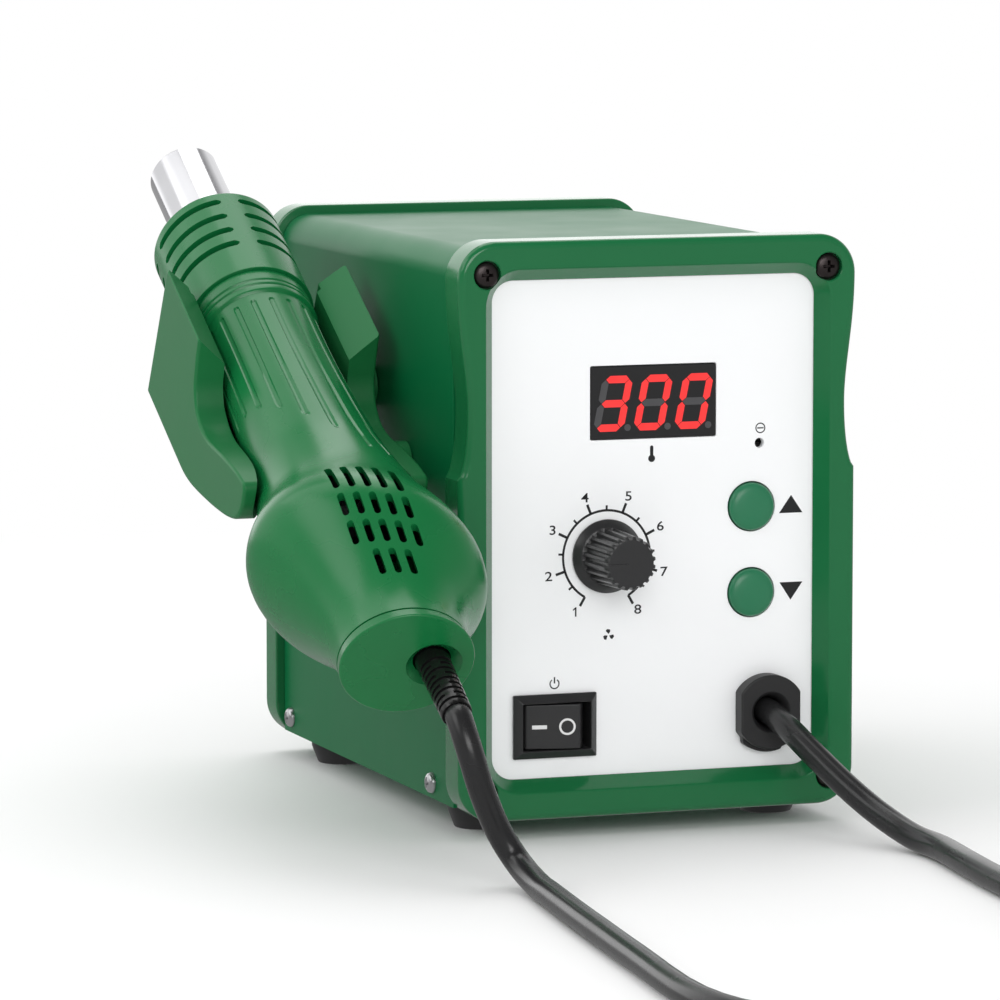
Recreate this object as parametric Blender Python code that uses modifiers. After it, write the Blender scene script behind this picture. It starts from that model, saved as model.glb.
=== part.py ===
"""Hot air rework station: a box with a digital front panel and a hot air gun in a holder on its left side."""
import math

import bmesh
import bpy
from mathutils import Vector

for old in list(bpy.data.objects):
    bpy.data.objects.remove(old, do_unlink=True)

MM = 0.001

# Driving dimensions in millimetres. The front face lies in y = 0, its middle in x = 0, the frames stand on z = 0.
WIDTH = 98.0
HEIGHT = 134.0
DEPTH = 150.0
CORNER = 9.0
GAP = 0.3
SCREW = 1.4
SCREW_HOLE = SCREW + 0.2
LID_SHEET = 1.0
LID_INSET = 2.15
FRONT_RIM = 10.4
REAR_RIM = 9.3
SPIGOT = 4.0
SPIGOT_INSET = LID_INSET + LID_SHEET + 0.35
PANEL_FACE = 4.3
PANEL_BACK = PANEL_FACE + 2.0
PANEL_INSET = 5.8
PANEL_CORNER = 10.2
BOARD_FRONT = 14.2
BOARD_BACK = 15.8
FOOT = 4.5
SCREW_HIGH = (WIDTH / 2 - 6.9, HEIGHT - 7.6)
SCREW_LOW = (WIDTH / 2 - 6.15, 6.85)
FRONT_SCREWS = ((-SCREW_HIGH[0], SCREW_HIGH[1]), SCREW_HIGH, (-SCREW_LOW[0], SCREW_LOW[1]), SCREW_LOW)
SIDE_SCREWS = ((25.6, 5.9), (DEPTH - 15.6, 6.1))
FOOT_X = WIDTH / 2 - 13
FOOT_Y = 23.0
FEET = ((-FOOT_X, FOOT_Y), (FOOT_X, FOOT_Y), (-FOOT_X, DEPTH - FOOT_Y), (FOOT_X, DEPTH - FOOT_Y))
WINDOW = (0.0, 95.85, 30.9, 16.9)
KNOB = (-11.5, 60.3)
BUTTONS = ((24.5, 70.5), (24.5, 50.3))
BUTTON = 5.6
TRIM = (26.5, 85.3)
SWITCH = (-24.45, 21.3)
GLAND = (28.1, 22.4)
INLET = (-15.0, 30.0)
CORD = 3.0
CORD_BORE = CORD + GAP
GUN_AT = (-WIDTH / 2 - 25.0, -36.6, 43.3)
GUN_RISE = 30.0
BULB = 25.5
RELIEF_AT = 6.1
RELIEF_END = -18.5
RELIEF_TIP = 3.5
HOLDER_HALF = 22.3
HOLDER_BORE = 15.3
LID_LEFT = -(WIDTH / 2 - LID_INSET)
COIL_AT = (71.0, -162.0)
COIL_R = 30.8
COIL_HALF = 12.2

home = bpy.data.collections.new("hot_air_rework_station")
tools = bpy.data.collections.new("cutters")
bpy.context.scene.collection.children.link(home)
bpy.context.scene.collection.children.link(tools)


def empty(name, at, turn=(0, 0, 0), parent=None):
    mark = bpy.data.objects.new(name, None)
    mark.empty_display_size = 0.01
    mark.location = Vector(at) * MM
    mark.rotation_euler = turn
    mark.parent = parent
    home.objects.link(mark)
    return mark


relief_front = GUN_AT[1] + RELIEF_END * math.cos(math.radians(GUN_RISE)) - RELIEF_TIP / 2
root = empty("station_origin", (-(GUN_AT[0] - BULB + WIDTH / 2) / 2, -(relief_front + DEPTH) / 2, FOOT))
gun_axis = empty("gun_axis", GUN_AT, (math.radians(GUN_RISE - 90), 0, 0), root)


def place(name, data, at, along, parent, cutter):
    thing = bpy.data.objects.new(name, data)
    thing.location = Vector(at) * MM
    thing.rotation_euler = Vector((0, 0, 1)).rotation_difference(Vector(along)).to_euler()
    thing.parent = parent
    (tools if cutter else home).objects.link(thing)
    if cutter:
        thing.hide_render = True
        thing.display_type = "WIRE"
    return thing


def cleaned(mesh):
    work = bmesh.new()
    work.from_mesh(mesh)
    bmesh.ops.remove_doubles(work, verts=work.verts, dist=1e-7)
    bmesh.ops.recalc_face_normals(work, faces=work.faces)
    work.to_mesh(mesh)
    work.free()
    return mesh


def solid(name, points, faces, at=(0, 0, 0), along=(0, 0, 1), parent=root, cutter=False):
    mesh = bpy.data.meshes.new(name)
    mesh.from_pydata([Vector(p) * MM for p in points], [], faces)
    return place(name, cleaned(mesh), at, along, parent, cutter)


def loft(name, rings, looped=False, **rest):
    count = len(rings[0])
    points = [p for ring in rings for p in ring]
    faces = []
    for k in range(len(rings) if looped else len(rings) - 1):
        a, b = k * count, (k + 1) % len(rings) * count
        faces += [(a + i, a + (i + 1) % count, b + (i + 1) % count, b + i) for i in range(count)]
    if not looped:
        faces.append(tuple(range(count)))
        faces.append(tuple((len(rings) - 1) * count + i for i in range(count)))
    return solid(name, points, faces, **rest)


def boxes(name, blocks, **rest):
    points, faces = [], []
    for x0, x1, y0, y1, z0, z1 in blocks:
        n = len(points)
        points += [(x, y, z) for z in (z0, z1) for x, y in ((x0, y0), (x1, y0), (x1, y1), (x0, y1))]
        faces += [tuple(n + i for i in f) for f in (
            (0, 1, 2, 3), (4, 5, 6, 7), (0, 1, 5, 4), (1, 2, 6, 5), (2, 3, 7, 6), (3, 0, 4, 7))]
    return solid(name, points, faces, **rest)


def plate(name, outlines, plane, low, high, at=(0, 0, 0), along=(0, 0, 1), parent=root, cutter=False):
    flat = bpy.data.curves.new(name + "_outline", "CURVE")
    flat.dimensions = "2D"
    flat.fill_mode = "BOTH"
    flat.extrude = (high - low) / 2 * MM
    for outline in outlines:
        line = flat.splines.new("POLY")
        line.points.add(len(outline) - 1)
        for point, (a, b) in zip(line.points, outline):
            point.co = (a * MM, b * MM, 0, 1)
        line.use_cyclic_u = True
    drawn = bpy.data.objects.new(name + "_outline", flat)
    mesh = bpy.data.meshes.new_from_object(drawn)
    bpy.data.objects.remove(drawn)
    middle = (low + high) / 2 * MM
    for v in mesh.vertices:
        a, b, t = v.co
        v.co = {"XY": (a, b, middle + t), "XZ": (a, middle + t, b), "YZ": (middle + t, a, b)}[plane]
    mesh.name = name
    return place(name, cleaned(mesh), at, along, parent, cutter)


def turned(name, profile, steps, at=(0, 0, 0), along=(0, 0, 1), ring=False, parent=root, cutter=False):
    loop = list(profile)
    area = sum(a[0] * b[1] - b[0] * a[1] for a, b in zip(loop, loop[1:] + loop[:1]))
    if area > 0:
        loop.reverse()
    mesh = bpy.data.meshes.new(name)
    edges = [(i, i + 1) for i in range(len(loop) - 1)] + ([(len(loop) - 1, 0)] if ring else [])
    mesh.from_pydata([(r * MM, 0, t * MM) for r, t in loop], edges, [])
    thing = place(name, mesh, at, along, parent, cutter)
    spin = thing.modifiers.new("turn", "SCREW")
    spin.axis = "Z"
    spin.angle = math.tau
    spin.steps = spin.render_steps = steps
    spin.use_merge_vertices = True
    spin.merge_threshold = 1e-5
    return thing


def work(thing, cutter, how="DIFFERENCE"):
    step = thing.modifiers.new(cutter.name, "BOOLEAN")
    step.operation = how
    step.solver = "EXACT"
    step.object = cutter
    return thing


def paint(thing, rgb, rough=0.45, metal=0.0):
    skin = bpy.data.materials.new("mat_" + thing.name)
    skin.use_nodes = True
    shader = skin.node_tree.nodes["Principled BSDF"]
    shader.inputs["Base Color"].default_value = (*rgb, 1)
    shader.inputs["Roughness"].default_value = rough
    shader.inputs["Metallic"].default_value = metal
    thing.data.materials.clear()
    thing.data.materials.append(skin)
    return thing


GREEN = (0.02, 0.18, 0.065)
BLACK = (0.03, 0.03, 0.03)
STEEL = (0.6, 0.6, 0.6)


def arc(cx, cy, r, start, end, count):
    turn = [math.radians(start + (end - start) * k / (count - 1)) for k in range(count)]
    return [(cx + r * math.cos(t), cy + r * math.sin(t)) for t in turn]


def circle(cx, cy, r, count=20):
    return [(cx + r * math.cos(math.tau * k / count), cy + r * math.sin(math.tau * k / count)) for k in range(count)]


def rounded(x0, x1, y0, y1, r, count=6):
    return (arc(x1 - r, y1 - r, r, 0, 90, count) + arc(x0 + r, y1 - r, r, 90, 180, count)
            + arc(x0 + r, y0 + r, r, 180, 270, count) + arc(x1 - r, y0 + r, r, 270, 360, count))


def rectangle(cx, cy, w, h):
    return [(cx - w / 2, cy - h / 2), (cx + w / 2, cy - h / 2), (cx + w / 2, cy + h / 2), (cx - w / 2, cy + h / 2)]


# Frames: one moulded rim each, with a finger wave in both sides, a lip that holds the panel and a spigot that
# reaches into the cover.
def wave(z):
    t = (z - 79.4) / 45.6
    if not 0 < t < 1:
        return 0.0
    q = t ** 0.642
    return 2.45 * (math.sin(math.pi * q) if q < 0.5 else (1 + math.cos(math.tau * (q - 0.5))) / 2)


def rim_ring(inset, corner, y, waved):
    half = WIDTH / 2 - inset
    side = [79.4 + 45.6 * k / 9 for k in range(10)]
    right = arc(half - corner, inset + corner, corner, -90, 0, 6)
    right += [(half, min(z, HEIGHT - inset - corner - 0.05 * (10 - k))) for k, z in enumerate(side)]
    right += arc(half - corner, HEIGHT - inset - corner, corner, 0, 90, 6)
    if waved:
        right = [(x - wave(z), z) for x, z in right]
    ring = right + [(-x, z) for x, z in reversed(right)]
    return [(x, y, z) for x, z in ring]


def frame(name, rim, front):
    section = ((1.6, 7.4, 0, True), (0.47, 8.53, 0.47, True), (0, CORNER, 1.6, True), (0, CORNER, rim, True),
               (SPIGOT_INSET, 5.5, rim, False), (SPIGOT_INSET, 5.5, rim + SPIGOT, False),
               (PANEL_INSET - GAP, PANEL_CORNER + GAP, rim + SPIGOT, False),
               (PANEL_INSET - GAP, PANEL_CORNER + GAP, 4.0, False), (9.3, 5.0, 4.0, False), (6.4, 12.0, 0, False))
    side = 1 if front else -1
    start = 0 if front else DEPTH
    rings = [rim_ring(inset, corner, start + side * y, waved) for inset, corner, y, waved in section]
    thing = loft(name, rings, looped=True)
    for k, (x, z) in enumerate(FRONT_SCREWS):
        hole = turned(f"{name}_hole_{k}", [(0, -1), (3.3, -1), (3.3, 2.1), (SCREW_HOLE, 2.1), (SCREW_HOLE, 19), (0, 19)],
                      12, at=(x, start, z), along=(0, side, 0), cutter=True)
        work(thing, hole)
    return paint(thing, GREEN)


frame("front_frame", FRONT_RIM, True)
frame("rear_frame", REAR_RIM, False)

# Cross-head screws: four in front, four at the back, two pairs in the sides, two for the holder.
SCREW_HEAD = [(0, 0), (1.6, 0.05), (2.6, 0.35), (3.05, 0.9), (3.05, 1.8), (SCREW, 1.8)]


def screw(name, head, end, at, along, rgb, rough=0.3, metal=0.9):
    thing = turned(name, head + [(SCREW, end), (0, end)], 12, at=at, along=along)
    cross = boxes(name + "_cross", ((-1.7, 1.7, -0.3, 0.3, -1, 0.9),), at=at, along=along, cutter=True)
    other = boxes(name + "_bar", ((-0.3, 0.3, -1.7, 1.7, -1, 0.9),), at=at, along=along, cutter=True)
    work(thing, cross)
    work(thing, other)
    return paint(thing, rgb, rough, metal)


for corner, (x, z) in zip(("tl", "tr", "bl", "br"), FRONT_SCREWS):
    screw("frame_screw_front_" + corner, SCREW_HEAD, 17.5, (x, 0.2, z), (0, 1, 0), (0.05, 0.05, 0.05))
    screw("frame_screw_rear_" + corner, SCREW_HEAD, 15.0, (x, DEPTH - 0.2, z), (0, -1, 0), (0.05, 0.05, 0.05))
PAN_HEAD = [(0, 0), (1.3, 0.08), (2.1, 0.5), (2.45, 1.1), (2.45, 1.6), (SCREW, 1.6)]
for (y, z), end in zip(SIDE_SCREWS, "fr"):
    screw("side_screw_l" + end, PAN_HEAD, 4.0, (LID_LEFT - 1.65, y, z), (1, 0, 0), STEEL, 0.2, 1.0)
    screw("side_screw_r" + end, PAN_HEAD, 4.0, (-LID_LEFT + 1.65, y, z), (-1, 0, 0), STEEL, 0.2, 1.0)

# Cover: one sheet bent over the top and both sides, with four corner tabs for the upper frame screws.
lid_half = WIDTH / 2 - LID_INSET
lid_top = HEIGHT - LID_INSET
outer = ([(lid_half, LID_INSET)] + arc(lid_half - 6.85, lid_top - 6.85, 6.85, 0, 90, 7)
         + arc(-lid_half + 6.85, lid_top - 6.85, 6.85, 90, 180, 7) + [(-lid_half, LID_INSET)])
inner = ([(-lid_half + LID_SHEET, LID_INSET)] + arc(-lid_half + 6.85, lid_top - 6.85, 5.85, 180, 90, 7)
         + arc(lid_half - 6.85, lid_top - 6.85, 5.85, 90, 0, 7) + [(lid_half - LID_SHEET, LID_INSET)])
LID_FRONT = FRONT_RIM + GAP
LID_BACK = DEPTH - REAR_RIM - GAP
lid = plate("top_cover", (outer + inner,), "XZ", LID_FRONT, LID_BACK)
TAB_FRONT = FRONT_RIM + SPIGOT + GAP
TAB_BACK = DEPTH - REAR_RIM - SPIGOT - GAP
tab = [(38, 118), (lid_half - 0.5, 118)] + arc(40, 125, lid_half - 40.5, 0, 90, 6) + [(38, lid_top - 0.5)]
for side in (1, -1):
    for low, place_name in ((TAB_FRONT, "front"), (TAB_BACK - LID_SHEET, "back")):
        ear = plate(f"cover_tab_{place_name}_{side}", ([(side * x, z) for x, z in tab],), "XZ", low, low + LID_SHEET,
                    cutter=True)
        work(lid, ear, "UNION")
for side in (1, -1):
    through = turned(f"cover_screw_hole_{side}", [(0, 0), (SCREW_HOLE + 0.1, 0), (SCREW_HOLE + 0.1, DEPTH), (0, DEPTH)], 10,
                     at=(side * FRONT_SCREWS[1][0], 0, FRONT_SCREWS[1][1]), along=(0, 1, 0), cutter=True)
    work(lid, through)
for k, (y, z) in enumerate(SIDE_SCREWS):
    through = turned(f"side_hole_{k}", [(0, -60), (SCREW_HOLE + 0.1, -60), (SCREW_HOLE + 0.1, 60), (0, 60)], 10,
                     at=(0, y, z), along=(1, 0, 0), cutter=True)
    work(lid, through)
paint(lid, GREEN, 0.3)

# Base: a tray with flanges behind both frames, tabs for the side screws and lugs that grip the control board.
LID_LOW = LID_INSET
BASE_TOP = LID_LOW + LID_SHEET
base_half = lid_half - LID_SHEET - 0.35
foot_holes = [circle(x, y, 2.8, 16) for x, y in FEET]
base = plate("base_plate", [[(-base_half, LID_FRONT), (base_half, LID_FRONT), (base_half, LID_BACK),
                             (-base_half, LID_BACK)]] + foot_holes, "XY", LID_LOW, BASE_TOP)
walls = []
for low in (TAB_FRONT, TAB_BACK - LID_SHEET):
    walls.append((-base_half + 0.4, base_half - 0.4, low, low + LID_SHEET, LID_LOW + 0.4, 12))
for y, z in SIDE_SCREWS:
    side_low = max(y - 8, TAB_FRONT + LID_SHEET + 1)
    side_high = min(y + 8, TAB_BACK - LID_SHEET - 1)
    walls.append((base_half - LID_SHEET, base_half - 0.05, side_low, side_high, LID_LOW + 0.45, 13))
    walls.append((-base_half + 0.05, -base_half + LID_SHEET, side_low, side_high, LID_LOW + 0.45, 13))
work(base, boxes("base_walls", walls, cutter=True), "UNION")
BOARD_LOW = 12.0
BOARD_HIGH = BOARD_LOW + 1.6
BOARD = (-41.0, 1.0, 36.0, 112.0)
for k, (edge, side) in enumerate(((BOARD[0], -1), (BOARD[1], 1))):
    lug = [(edge - side * 5, LID_LOW + 0.5), (edge - side * 5, BOARD_LOW - GAP), (edge + side * GAP, BOARD_LOW - GAP),
           (edge + side * GAP, BOARD_HIGH + GAP), (edge - side * 1.5, BOARD_HIGH + GAP), (edge - side * 1.5, BOARD_HIGH + 1.4),
           (edge + side * 1.4, BOARD_HIGH + 1.4), (edge + side * 1.4, LID_LOW + 0.5)]
    for y in (50, 98):
        work(base, plate(f"lug_{k}_{y}", (lug,), "XZ", y, y + 1.5, cutter=True), "UNION")
for k in (0, 1):
    x, z = FRONT_SCREWS[2 + k]
    work(base, turned(f"base_screw_hole_{k}", [(0, 0), (SCREW_HOLE + 0.1, 0), (SCREW_HOLE + 0.1, DEPTH), (0, DEPTH)], 10,
                      at=(x, 0, z), along=(0, 1, 0), cutter=True))
for k, (y, z) in enumerate(SIDE_SCREWS):
    work(base, turned(f"base_side_hole_{k}", [(0, -60), (SCREW_HOLE + 0.1, -60), (SCREW_HOLE + 0.1, 60), (0, 60)], 10,
                      at=(0, y, z), along=(1, 0, 0), cutter=True))
paint(base, GREEN, 0.4)

# Feet: tapered rubber blocks whose stems press into the base.
for name, (x, y) in zip(("lf", "rf", "lr", "rr"), FEET):
    top = LID_LOW - GAP
    stem = [(2.5 * math.cos(math.tau * (k + 0.5) / 16), 2.5 * math.sin(math.tau * (k + 0.5) / 16)) for k in range(16)]

    def block(half):
        return [(half * (1 if math.cos(math.tau * (k + 0.5) / 16) > 0 else -1)
                 * min(1, abs(math.cos(math.tau * (k + 0.5) / 16)) / math.cos(math.tau / 16 * 2)),
                 half * (1 if math.sin(math.tau * (k + 0.5) / 16) > 0 else -1)
                 * min(1, abs(math.sin(math.tau * (k + 0.5) / 16)) / math.cos(math.tau / 16 * 2)))
                for k in range(16)]

    rings = [[(a, b, -FOOT) for a, b in block(6.2)], [(a, b, top - 2.2) for a, b in block(7.6)],
             [(a, b, top) for a, b in block(7.75)], [(a, b, top) for a, b in stem], [(a, b, BASE_TOP + 1.9) for a, b in stem]]
    paint(loft("foot_" + name, rings, at=(x, y, 0)), BLACK, 0.7)

# Front panel: a moulded plate with staked pegs that carry the display board.
panel_outline = rounded(-WIDTH / 2 + PANEL_INSET, WIDTH / 2 - PANEL_INSET, PANEL_INSET, HEIGHT - PANEL_INSET, PANEL_CORNER)
WX, WZ, WW, WH = WINDOW
panel_holes = [rectangle(WX, WZ, WW + 0.3, WH + 0.3), circle(*KNOB, 4.8), circle(*BUTTONS[0], BUTTON + GAP),
               circle(*BUTTONS[1], BUTTON + GAP), circle(*TRIM, 1.15, 16), rectangle(*SWITCH, 19.0, 13.2), circle(*GLAND, 6.1)]
panel = plate("front_panel", [panel_outline] + panel_holes, "XZ", PANEL_FACE, PANEL_BACK)
PEGS = ((-33, 46), (33, 42), (-33, 106), (33, 106))
for k, (x, z) in enumerate(PEGS):
    peg = turned(f"peg_{k}", [(0, PANEL_FACE + 1), (2.5, PANEL_FACE + 1), (2.5, BOARD_FRONT - GAP), (1.3, BOARD_FRONT - GAP),
                              (1.3, BOARD_BACK + 1.2), (0, BOARD_BACK + 1.2)], 12, at=(x, 0, z), along=(0, 1, 0), cutter=True)
    work(panel, peg, "UNION")
paint(panel, (0.85, 0.85, 0.85), 0.4)

# Display: dark window, digit module and the board that also carries the buttons' switches and both controls.
window = plate("display_window", (rectangle(WX, WZ, WW, WH),), "XZ", PANEL_FACE - 0.15, PANEL_BACK + 0.8)
work(window, boxes("window_flange", ((WX - 17, WX + 17, PANEL_BACK + GAP, PANEL_BACK + 1.3, WZ - 10, WZ + 10),), cutter=True),
     "UNION")
paint(window, (0.03, 0.03, 0.03), 0.15)
MODULE_FRONT = PANEL_BACK + 1.3 + GAP
paint(boxes("display_module", ((WX - 15, WX + 15, MODULE_FRONT, BOARD_FRONT - GAP, WZ - 7, WZ + 7),)), (0.05, 0.05, 0.05), 0.5)
board_holes = [circle(x, z, 1.6, 12) for x, z in PEGS]
board_edge = [(-38, 38), (38, 38), (38, 110), (-38, 110)]
paint(plate("display_board", [board_edge] + board_holes, "XZ", BOARD_FRONT, BOARD_BACK), (0.02, 0.2, 0.08), 0.5)
for name, (x, z) in zip(("up", "down"), BUTTONS):
    tact = boxes("tact_switch_" + name, ((x - 3, x + 3, 10.6, BOARD_FRONT - GAP, z - 3, z + 3),))
    nub = turned(f"tact_{name}_nub", [(0, 9.6), (1.7, 9.6), (1.7, 12), (0, 12)], 12, at=(x, 0, z), along=(0, 1, 0), cutter=True)
    paint(work(tact, nub, "UNION"), (0.05, 0.05, 0.05), 0.4)
    cap = [(0, 2.5), (2.5, 2.6), (4.2, 2.85), (5.15, 3.3), (BUTTON, 3.9), (BUTTON, PANEL_BACK + GAP),
           (6.8, PANEL_BACK + GAP), (6.8, PANEL_BACK + 1.3), (1.5, PANEL_BACK + 1.3), (1.5, 8.5), (0, 8.5)]
    paint(turned(name + "_button", cap, 20, at=(x, 0, z), along=(0, 1, 0)), (0.04, 0.22, 0.1), 0.3)

# Air control: potentiometer with a hollow bushing, steel shaft and the serrated knob.
kx, kz = KNOB
SHAFT = 3.0
pot = [(0, BOARD_FRONT - GAP), (8, BOARD_FRONT - GAP), (8, 7.9), (4.4, 7.9), (4.4, PANEL_FACE + 0.1),
       (SHAFT + GAP, PANEL_FACE + 0.1), (SHAFT + GAP, 12.4), (0, 12.4)]
paint(turned("potentiometer_body", pot, 24, at=(kx, 0, kz), along=(0, 1, 0)), (0.5, 0.5, 0.5), 0.35, 0.9)
paint(turned("knob_shaft", [(0, -9), (SHAFT - 0.3, -9), (SHAFT, -8.7), (SHAFT, 12.1), (0, 12.1)], 16, at=(kx, 0, kz),
             along=(0, 1, 0)), STEEL, 0.25, 1.0)
TEETH = 24


def knob_ring(r, y, tooth=0.0):
    ring = []
    for k in range(TEETH * 2):
        t = math.tau * k / (TEETH * 2)
        rr = r - (tooth if k % 2 == 0 else 0)
        ring.append((rr * math.cos(t), y, rr * math.sin(t)))
    return ring


KNOB_BACK = PANEL_FACE - GAP
knob_rings = [knob_ring(SHAFT + GAP, -9.3), knob_ring(SHAFT + GAP, KNOB_BACK), knob_ring(8.6, KNOB_BACK), knob_ring(8.6, 3.3),
              knob_ring(7.0, 1.9), knob_ring(6.6, 1.8, 0.6), knob_ring(5.95, -11.0, 0.5), knob_ring(5.5, -11.7),
              knob_ring(5.3, -12.0)]
paint(loft("air_knob", knob_rings, at=(kx, 0, kz)), BLACK, 0.35)

# Calibration trimmer behind its hole, with a slotted rotor.
tx, tz = TRIM
trim = plate("cal_trimmer", (rectangle(tx, tz, 6.6, 6.6), circle(tx, tz, 2.2, 16)), "XZ", 8.4, 12.9)
trim_back = boxes("cal_trimmer_back", ((tx - 3.3, tx + 3.3, 12.4, BOARD_FRONT - GAP, tz - 3.3, tz + 3.3),), cutter=True)
paint(work(trim, trim_back, "UNION"), (0.03, 0.1, 0.4), 0.4)
rotor = turned("cal_rotor", [(0, 7.6), (1.9, 7.6), (1.9, 12.1), (0, 12.1)], 16, at=(tx, 0, tz), along=(0, 1, 0))
work(rotor, boxes("rotor_slot", ((-1.5, 1.5, -0.3, 0.3, 7.0, 8.4),), at=(tx, 0, tz), along=(0, 1, 0), cutter=True))
paint(rotor, (0.8, 0.8, 0.75), 0.4)

# Power switch: snap-in housing with a raised bevelled bezel, and the rocker on its pivot.
sx, sz = SWITCH


def pocket(half_w, half_h, y):
    return [(a, y, b) for a, b in ((-half_w, -half_h), (half_w, -half_h), (half_w, half_h), (-half_w, half_h))]


ROCKER_Y = 8.0
switch_rings = [pocket(8.3, 5.45, 13.0), pocket(8.3, 5.45, 2.1), pocket(8.5, 5.65, 1.9), pocket(10.2, 7.45, 3.4),
                pocket(10.2, 7.45, PANEL_FACE - GAP), pocket(9.2, 6.3, PANEL_FACE - GAP), pocket(9.2, 6.3, 22.0)]
paint(loft("switch_body", switch_rings, at=(sx, 0, sz)), BLACK, 0.35)
tilt = math.radians(-10)
rocker_outline = [(-6.4, -6.1), (6.4, -6.1), (7.6, -3.0), (5.5, 2.5), (2, 4.3), (-2, 4.3), (-5.5, 2.5), (-7.6, -3.0)]
rocker_outline = [(x * math.cos(tilt) - y * math.sin(tilt), x * math.sin(tilt) + y * math.cos(tilt)) for x, y in rocker_outline]
paint(plate("switch_rocker", (rocker_outline,), "XY", -5.15, 5.15, at=(sx, ROCKER_Y, sz)), BLACK, 0.35)

# Strain relief bushing of the gun's cable: flats left and right, a lobe below, a flared bore.
gx, gz = GLAND


def bushing(r, y, flat=99.0, lobe=0.0):
    ring = []
    for k in range(32):
        t = math.tau * k / 32
        reach = min(r, flat / max(abs(math.cos(t)), 1e-6))
        low = abs((math.degrees(t) - 260 + 180) % 360 - 180) < 32
        reach += lobe if low else 0
        ring.append((reach * math.cos(t), y, reach * math.sin(t)))
    return ring


gland_rings = [bushing(CORD_BORE, 13), bushing(CORD_BORE, 3.2), bushing(4.9, 0), bushing(8.35, 0, 7.05), bushing(8.75, 0.4, 7.45),
               bushing(8.75, 2.2, 7.45), bushing(8.75, 2.25, 7.4, 0.9), bushing(8.75, PANEL_FACE - GAP, 7.4, 0.9),
               bushing(5.8, PANEL_FACE - GAP), bushing(5.8, 13)]
paint(loft("cable_gland", gland_rings, looped=True, at=(gx, 0, gz)), BLACK, 0.45)

# Rear panel with the mains inlet and its three pins.
ix, iz = INLET
back_face = DEPTH - PANEL_FACE
paint(plate("rear_panel", (panel_outline, rectangle(ix, iz, 27.6, 20.2)), "XZ", back_face - 2, back_face), GREEN, 0.4)
socket = [(-12, -8), (12, -8), (12, 4), (8.5, 8), (-8.5, 8), (-12, 4)]
inlet_face = back_face + 2.6
inlet = boxes("power_inlet", ((ix - 13.5, ix + 13.5, 122, inlet_face - 1, iz - 9.8, iz + 9.8),))
inlet_rim = plate("inlet_rim", (rounded(ix - 15.5, ix + 15.5, iz - 11.8, iz + 11.8, 2, 4),), "XZ", back_face + GAP,
                  inlet_face, cutter=True)
work(inlet, inlet_rim, "UNION")
work(inlet, plate("inlet_socket", ([(ix + x, iz + z) for x, z in socket],), "XZ", 132, DEPTH + 5, cutter=True))
PINS = {"live": (7, -1.5), "neutral": (-7, -1.5), "earth": (0, 2.5)}
pin_holes = boxes("pin_holes", [(ix + x - 1.3, ix + x + 1.3, 118, 136, iz + z - 2.3, iz + z + 2.3) for x, z in PINS.values()],
                  cutter=True)
work(inlet, pin_holes)
paint(inlet, BLACK, 0.45)
for name, (x, z) in PINS.items():
    rings = [[(a * w, y, b * h) for a, b in ((-1, -1), (1, -1), (1, 1), (-1, 1))]
             for w, h, y in ((1, 2, 116), (1, 2, 143.5), (0.5, 1.3, 145.5))]
    paint(loft("inlet_pin_" + name, rings, at=(ix + x, 0, iz + z)), STEEL, 0.25, 1.0)

# Inside: control board in the base's lugs, its finned heatsink, and the small transformer.
paint(boxes("control_board", ((BOARD[0], BOARD[1], BOARD[2], BOARD[3], BOARD_LOW, BOARD_HIGH),)), (0.02, 0.2, 0.08), 0.5)
comb = [(-30, 70), (-6, 70), (-6, 82)]
for k in range(5):
    comb += [(-8 - 4 * k, 82), (-8 - 4 * k, 72.5), (-10 - 4 * k, 72.5), (-10 - 4 * k, 82)]
comb += [(-30, 82)]
paint(plate("triac_heatsink", (comb,), "XY", BOARD_HIGH + GAP, BOARD_HIGH + 26), (0.5, 0.5, 0.5), 0.4, 0.9)
CORE_LOW = BASE_TOP + GAP
core_x, core_y = 24.0, 84.0
core_windows = [rectangle(core_x + side * 10.5, CORE_LOW + 17, 8, 22) for side in (-1, 1)]
core_outline = rectangle(core_x, CORE_LOW + 17, 38, 34)
paint(plate("transformer_core", [core_outline] + core_windows, "XZ", core_y - 10, core_y + 10), (0.25, 0.25, 0.27), 0.5, 0.6)
coil_outside = rectangle(core_x, core_y, 28.0, 38)
coil_inside = rectangle(core_x, core_y, 13.6, 20.6)
paint(plate("transformer_winding", (coil_outside, coil_inside), "XY", CORE_LOW + 6.4, CORE_LOW + 27.6), (0.4, 0.16, 0.05), 0.4)

# Gun handle: a turned bulb whose round end leans towards the box, with air slots on top and a front spigot.
OUTER = [(3.1, 14.9), (6, 14.95), (10, 15.7), (15, 17.5), (20, 20.0), (26, 23.2), (30, 24.9), (33.5, BULB), (37, 25.0),
         (41, 23.8), (47, 21.4), (54, 19.3), (62, 17.6), (71, 16.1), (80, 15.35), (90, 14.8), (98.5, 14.4), (111, 14.1),
         (126, 14.2)]
GRIP_RING = 14.9
RING_END = 134.4
SPIGOT_R = 13.3
FRONT = [(126.3, GRIP_RING), (128.5, GRIP_RING), (128.9, 14.5), (129.3, GRIP_RING), (130.3, GRIP_RING), (130.7, 14.5),
         (131.1, GRIP_RING), (RING_END, GRIP_RING), (RING_END, SPIGOT_R), (140, SPIGOT_R)]
INNER = [(140, 11.9), (111, 12.1), (90, 12.7), (71, 14.1), (63, 15.85), (54, 17.5), (47, 19.5), (41, 21.9),
         (33.5, BULB - 1.9), (26, 21.3), (20, 18.1), (15, 15.6), (10, 13.8), (3.1, 12.9)]


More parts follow.
